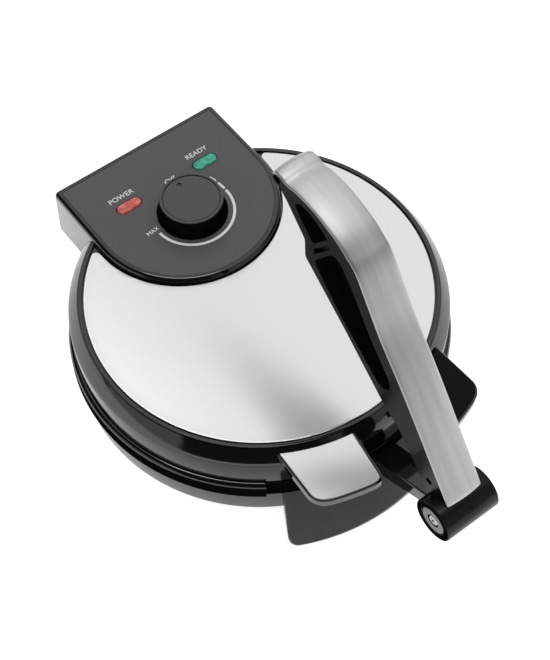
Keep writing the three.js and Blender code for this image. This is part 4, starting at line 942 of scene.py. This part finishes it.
# Barrel ends. A grey disc is let into each end of the barrel, and in its middle a bright cross-head
# screw sits in a round well.
WELL_RADIUS = 5.0
WELL_GAP = 0.1
DISC_LINE = [(0, 20.1), (WELL_RADIUS, 20.1), (WELL_RADIUS, 21.7), (10.5, 21.7), (10.5, 19.0), (0, 19.0)]
DISC_ROUNDING = [0, 0, 0.5, 0.6, 0, 0]
HEAD_LINE = [(0, 20.3), (4.2, 20.3), (4.2, 20.9), (3.6, 21.5), (0, 21.5)]
HEAD_ROUNDING = [0, 0, 0.3, 0.6, 0]
CROSS_SIZE = (2, 5, 1.1)
CROSS_X = 21.8
CROSS_ANGLES = (20, 110)
disc_grey = finish_of("disc_grey_plastic", (0.18, 0.18, 0.182), (0.21, 0.21, 0.212),
                      0.46, 0.56, (1500, 1500, 1500), 0.10)
screw_steel = finish_of("screw_steel", (0.40, 0.40, 0.41), (0.50, 0.50, 0.51),
                        0.22, 0.30, (500, 500, 500), 0.03, metallic=1.0)


def in_painted_shade_well(face):
    """True for the faces of the well that the screw sits in, which are painted black as shade."""
    y = face.center.y - BODY_Y - PIVOT_Y * MM
    z = face.center.z - PIVOT_Z * MM
    return math.hypot(y, z) < (WELL_RADIUS + WELL_GAP) * MM


for side_name, side in (("left", -1), ("right", 1)):
    disc = laid(f"drum_disc_{side_name}", [(r, x * side) for r, x in DISC_LINE], 72, DISC_ROUNDING)
    fitted(disc, "lever_pivot", disc_grey, "panel_grey", f"barrel_cap_{side_name}")
    # The well's faces in the grey disc are painted black as shade.
    partly(disc, dull_and_painted_shade_black, in_painted_shade_well)
    screw = laid(f"drum_screw_{side_name}", [(r, x * side) for r, x in HEAD_LINE], 36, HEAD_ROUNDING)
    for degrees in CROSS_ANGLES:
        bpy.ops.object.select_all(action="DESELECT")
        bpy.ops.mesh.primitive_cube_add(size=1)
        cross = bpy.context.object
        cross.scale = Vector(CROSS_SIZE) * MM
        cross.rotation_euler = (math.radians(degrees), 0, 0)
        cross.location = (side * CROSS_X * MM, BODY_Y + PIVOT_Y * MM, PIVOT_Z * MM)
        carved(screw, finished(cross))
    fitted(finished(screw), "lever_pivot", screw_steel, "chrome", f"barrel_screw_{side_name}")

# Pieces kept as they are in the frame: the eye and pin of the pivot, the hinge, the feet, the bush
# and all that lies inside. Their faces are joined and their edges smoothed as they are shown.
bright_steel = finish_of("bright_plated_steel", (0.80, 0.80, 0.81), (0.88, 0.88, 0.89),
                         0.10, 0.16, (500, 500, 500), 0.03, metallic=1.0)
cast_metal = finish_of("cast_aluminium", (0.50, 0.51, 0.52), (0.60, 0.61, 0.62),
                       0.38, 0.52, (600, 600, 600), 0.25, metallic=1.0)
coated_plate = finish_of("non_stick_coating", (0.018, 0.018, 0.019), (0.030, 0.030, 0.031),
                         0.34, 0.46, (1800, 1800, 1800), 0.18)
black_rubber = finish_of("black_rubber", (0.014, 0.014, 0.014), (0.022, 0.022, 0.022),
                         0.70, 0.85, (700, 700, 700), 0.3)
turned_brass = finish_of("turned_brass", (0.56, 0.40, 0.14), (0.66, 0.48, 0.20),
                         0.22, 0.34, (40, 40, 2400), 0.08, metallic=1.0)
pale_ceramic = finish_of("pale_insulator", (0.68, 0.66, 0.60), (0.76, 0.74, 0.69),
                         0.55, 0.7, (400, 400, 400), 0.15)
KEPT = {
    gloss_black: ["arm_eye"],
    satin_black: ["rear_bracket", "hinge_lug_left", "hinge_lug_right"],
    bright_steel: ["pivot_pin", "hinge_pin", *[f"foot_screw_{i}" for i in range(1, 5)]],
    black_rubber: ["cord_bush", *[f"foot_{i}" for i in range(1, 5)]],
    coated_plate: ["lower_plate", "upper_plate"],
    cast_metal: ["lower_element", "upper_element", "lower_heat_shield", "upper_heat_shield"],
    turned_brass: ["dial_spindle"],
    pale_ceramic: ["power_lamp", "ready_lamp", "thermostat"],
}
for material, names in KEPT.items():
    for name in names:
        node = nodes[name]
        node.data.materials.clear()
        node.data.materials.append(material)
        for face in node.data.polygons:
            face.use_smooth = True
        weld = node.modifiers.new("joined", "WELD")
        weld.merge_threshold = DOUBLES
        crease = node.modifiers.new("edges", "EDGE_SPLIT")
        crease.split_angle = math.radians(SMOOTH_ANGLE)
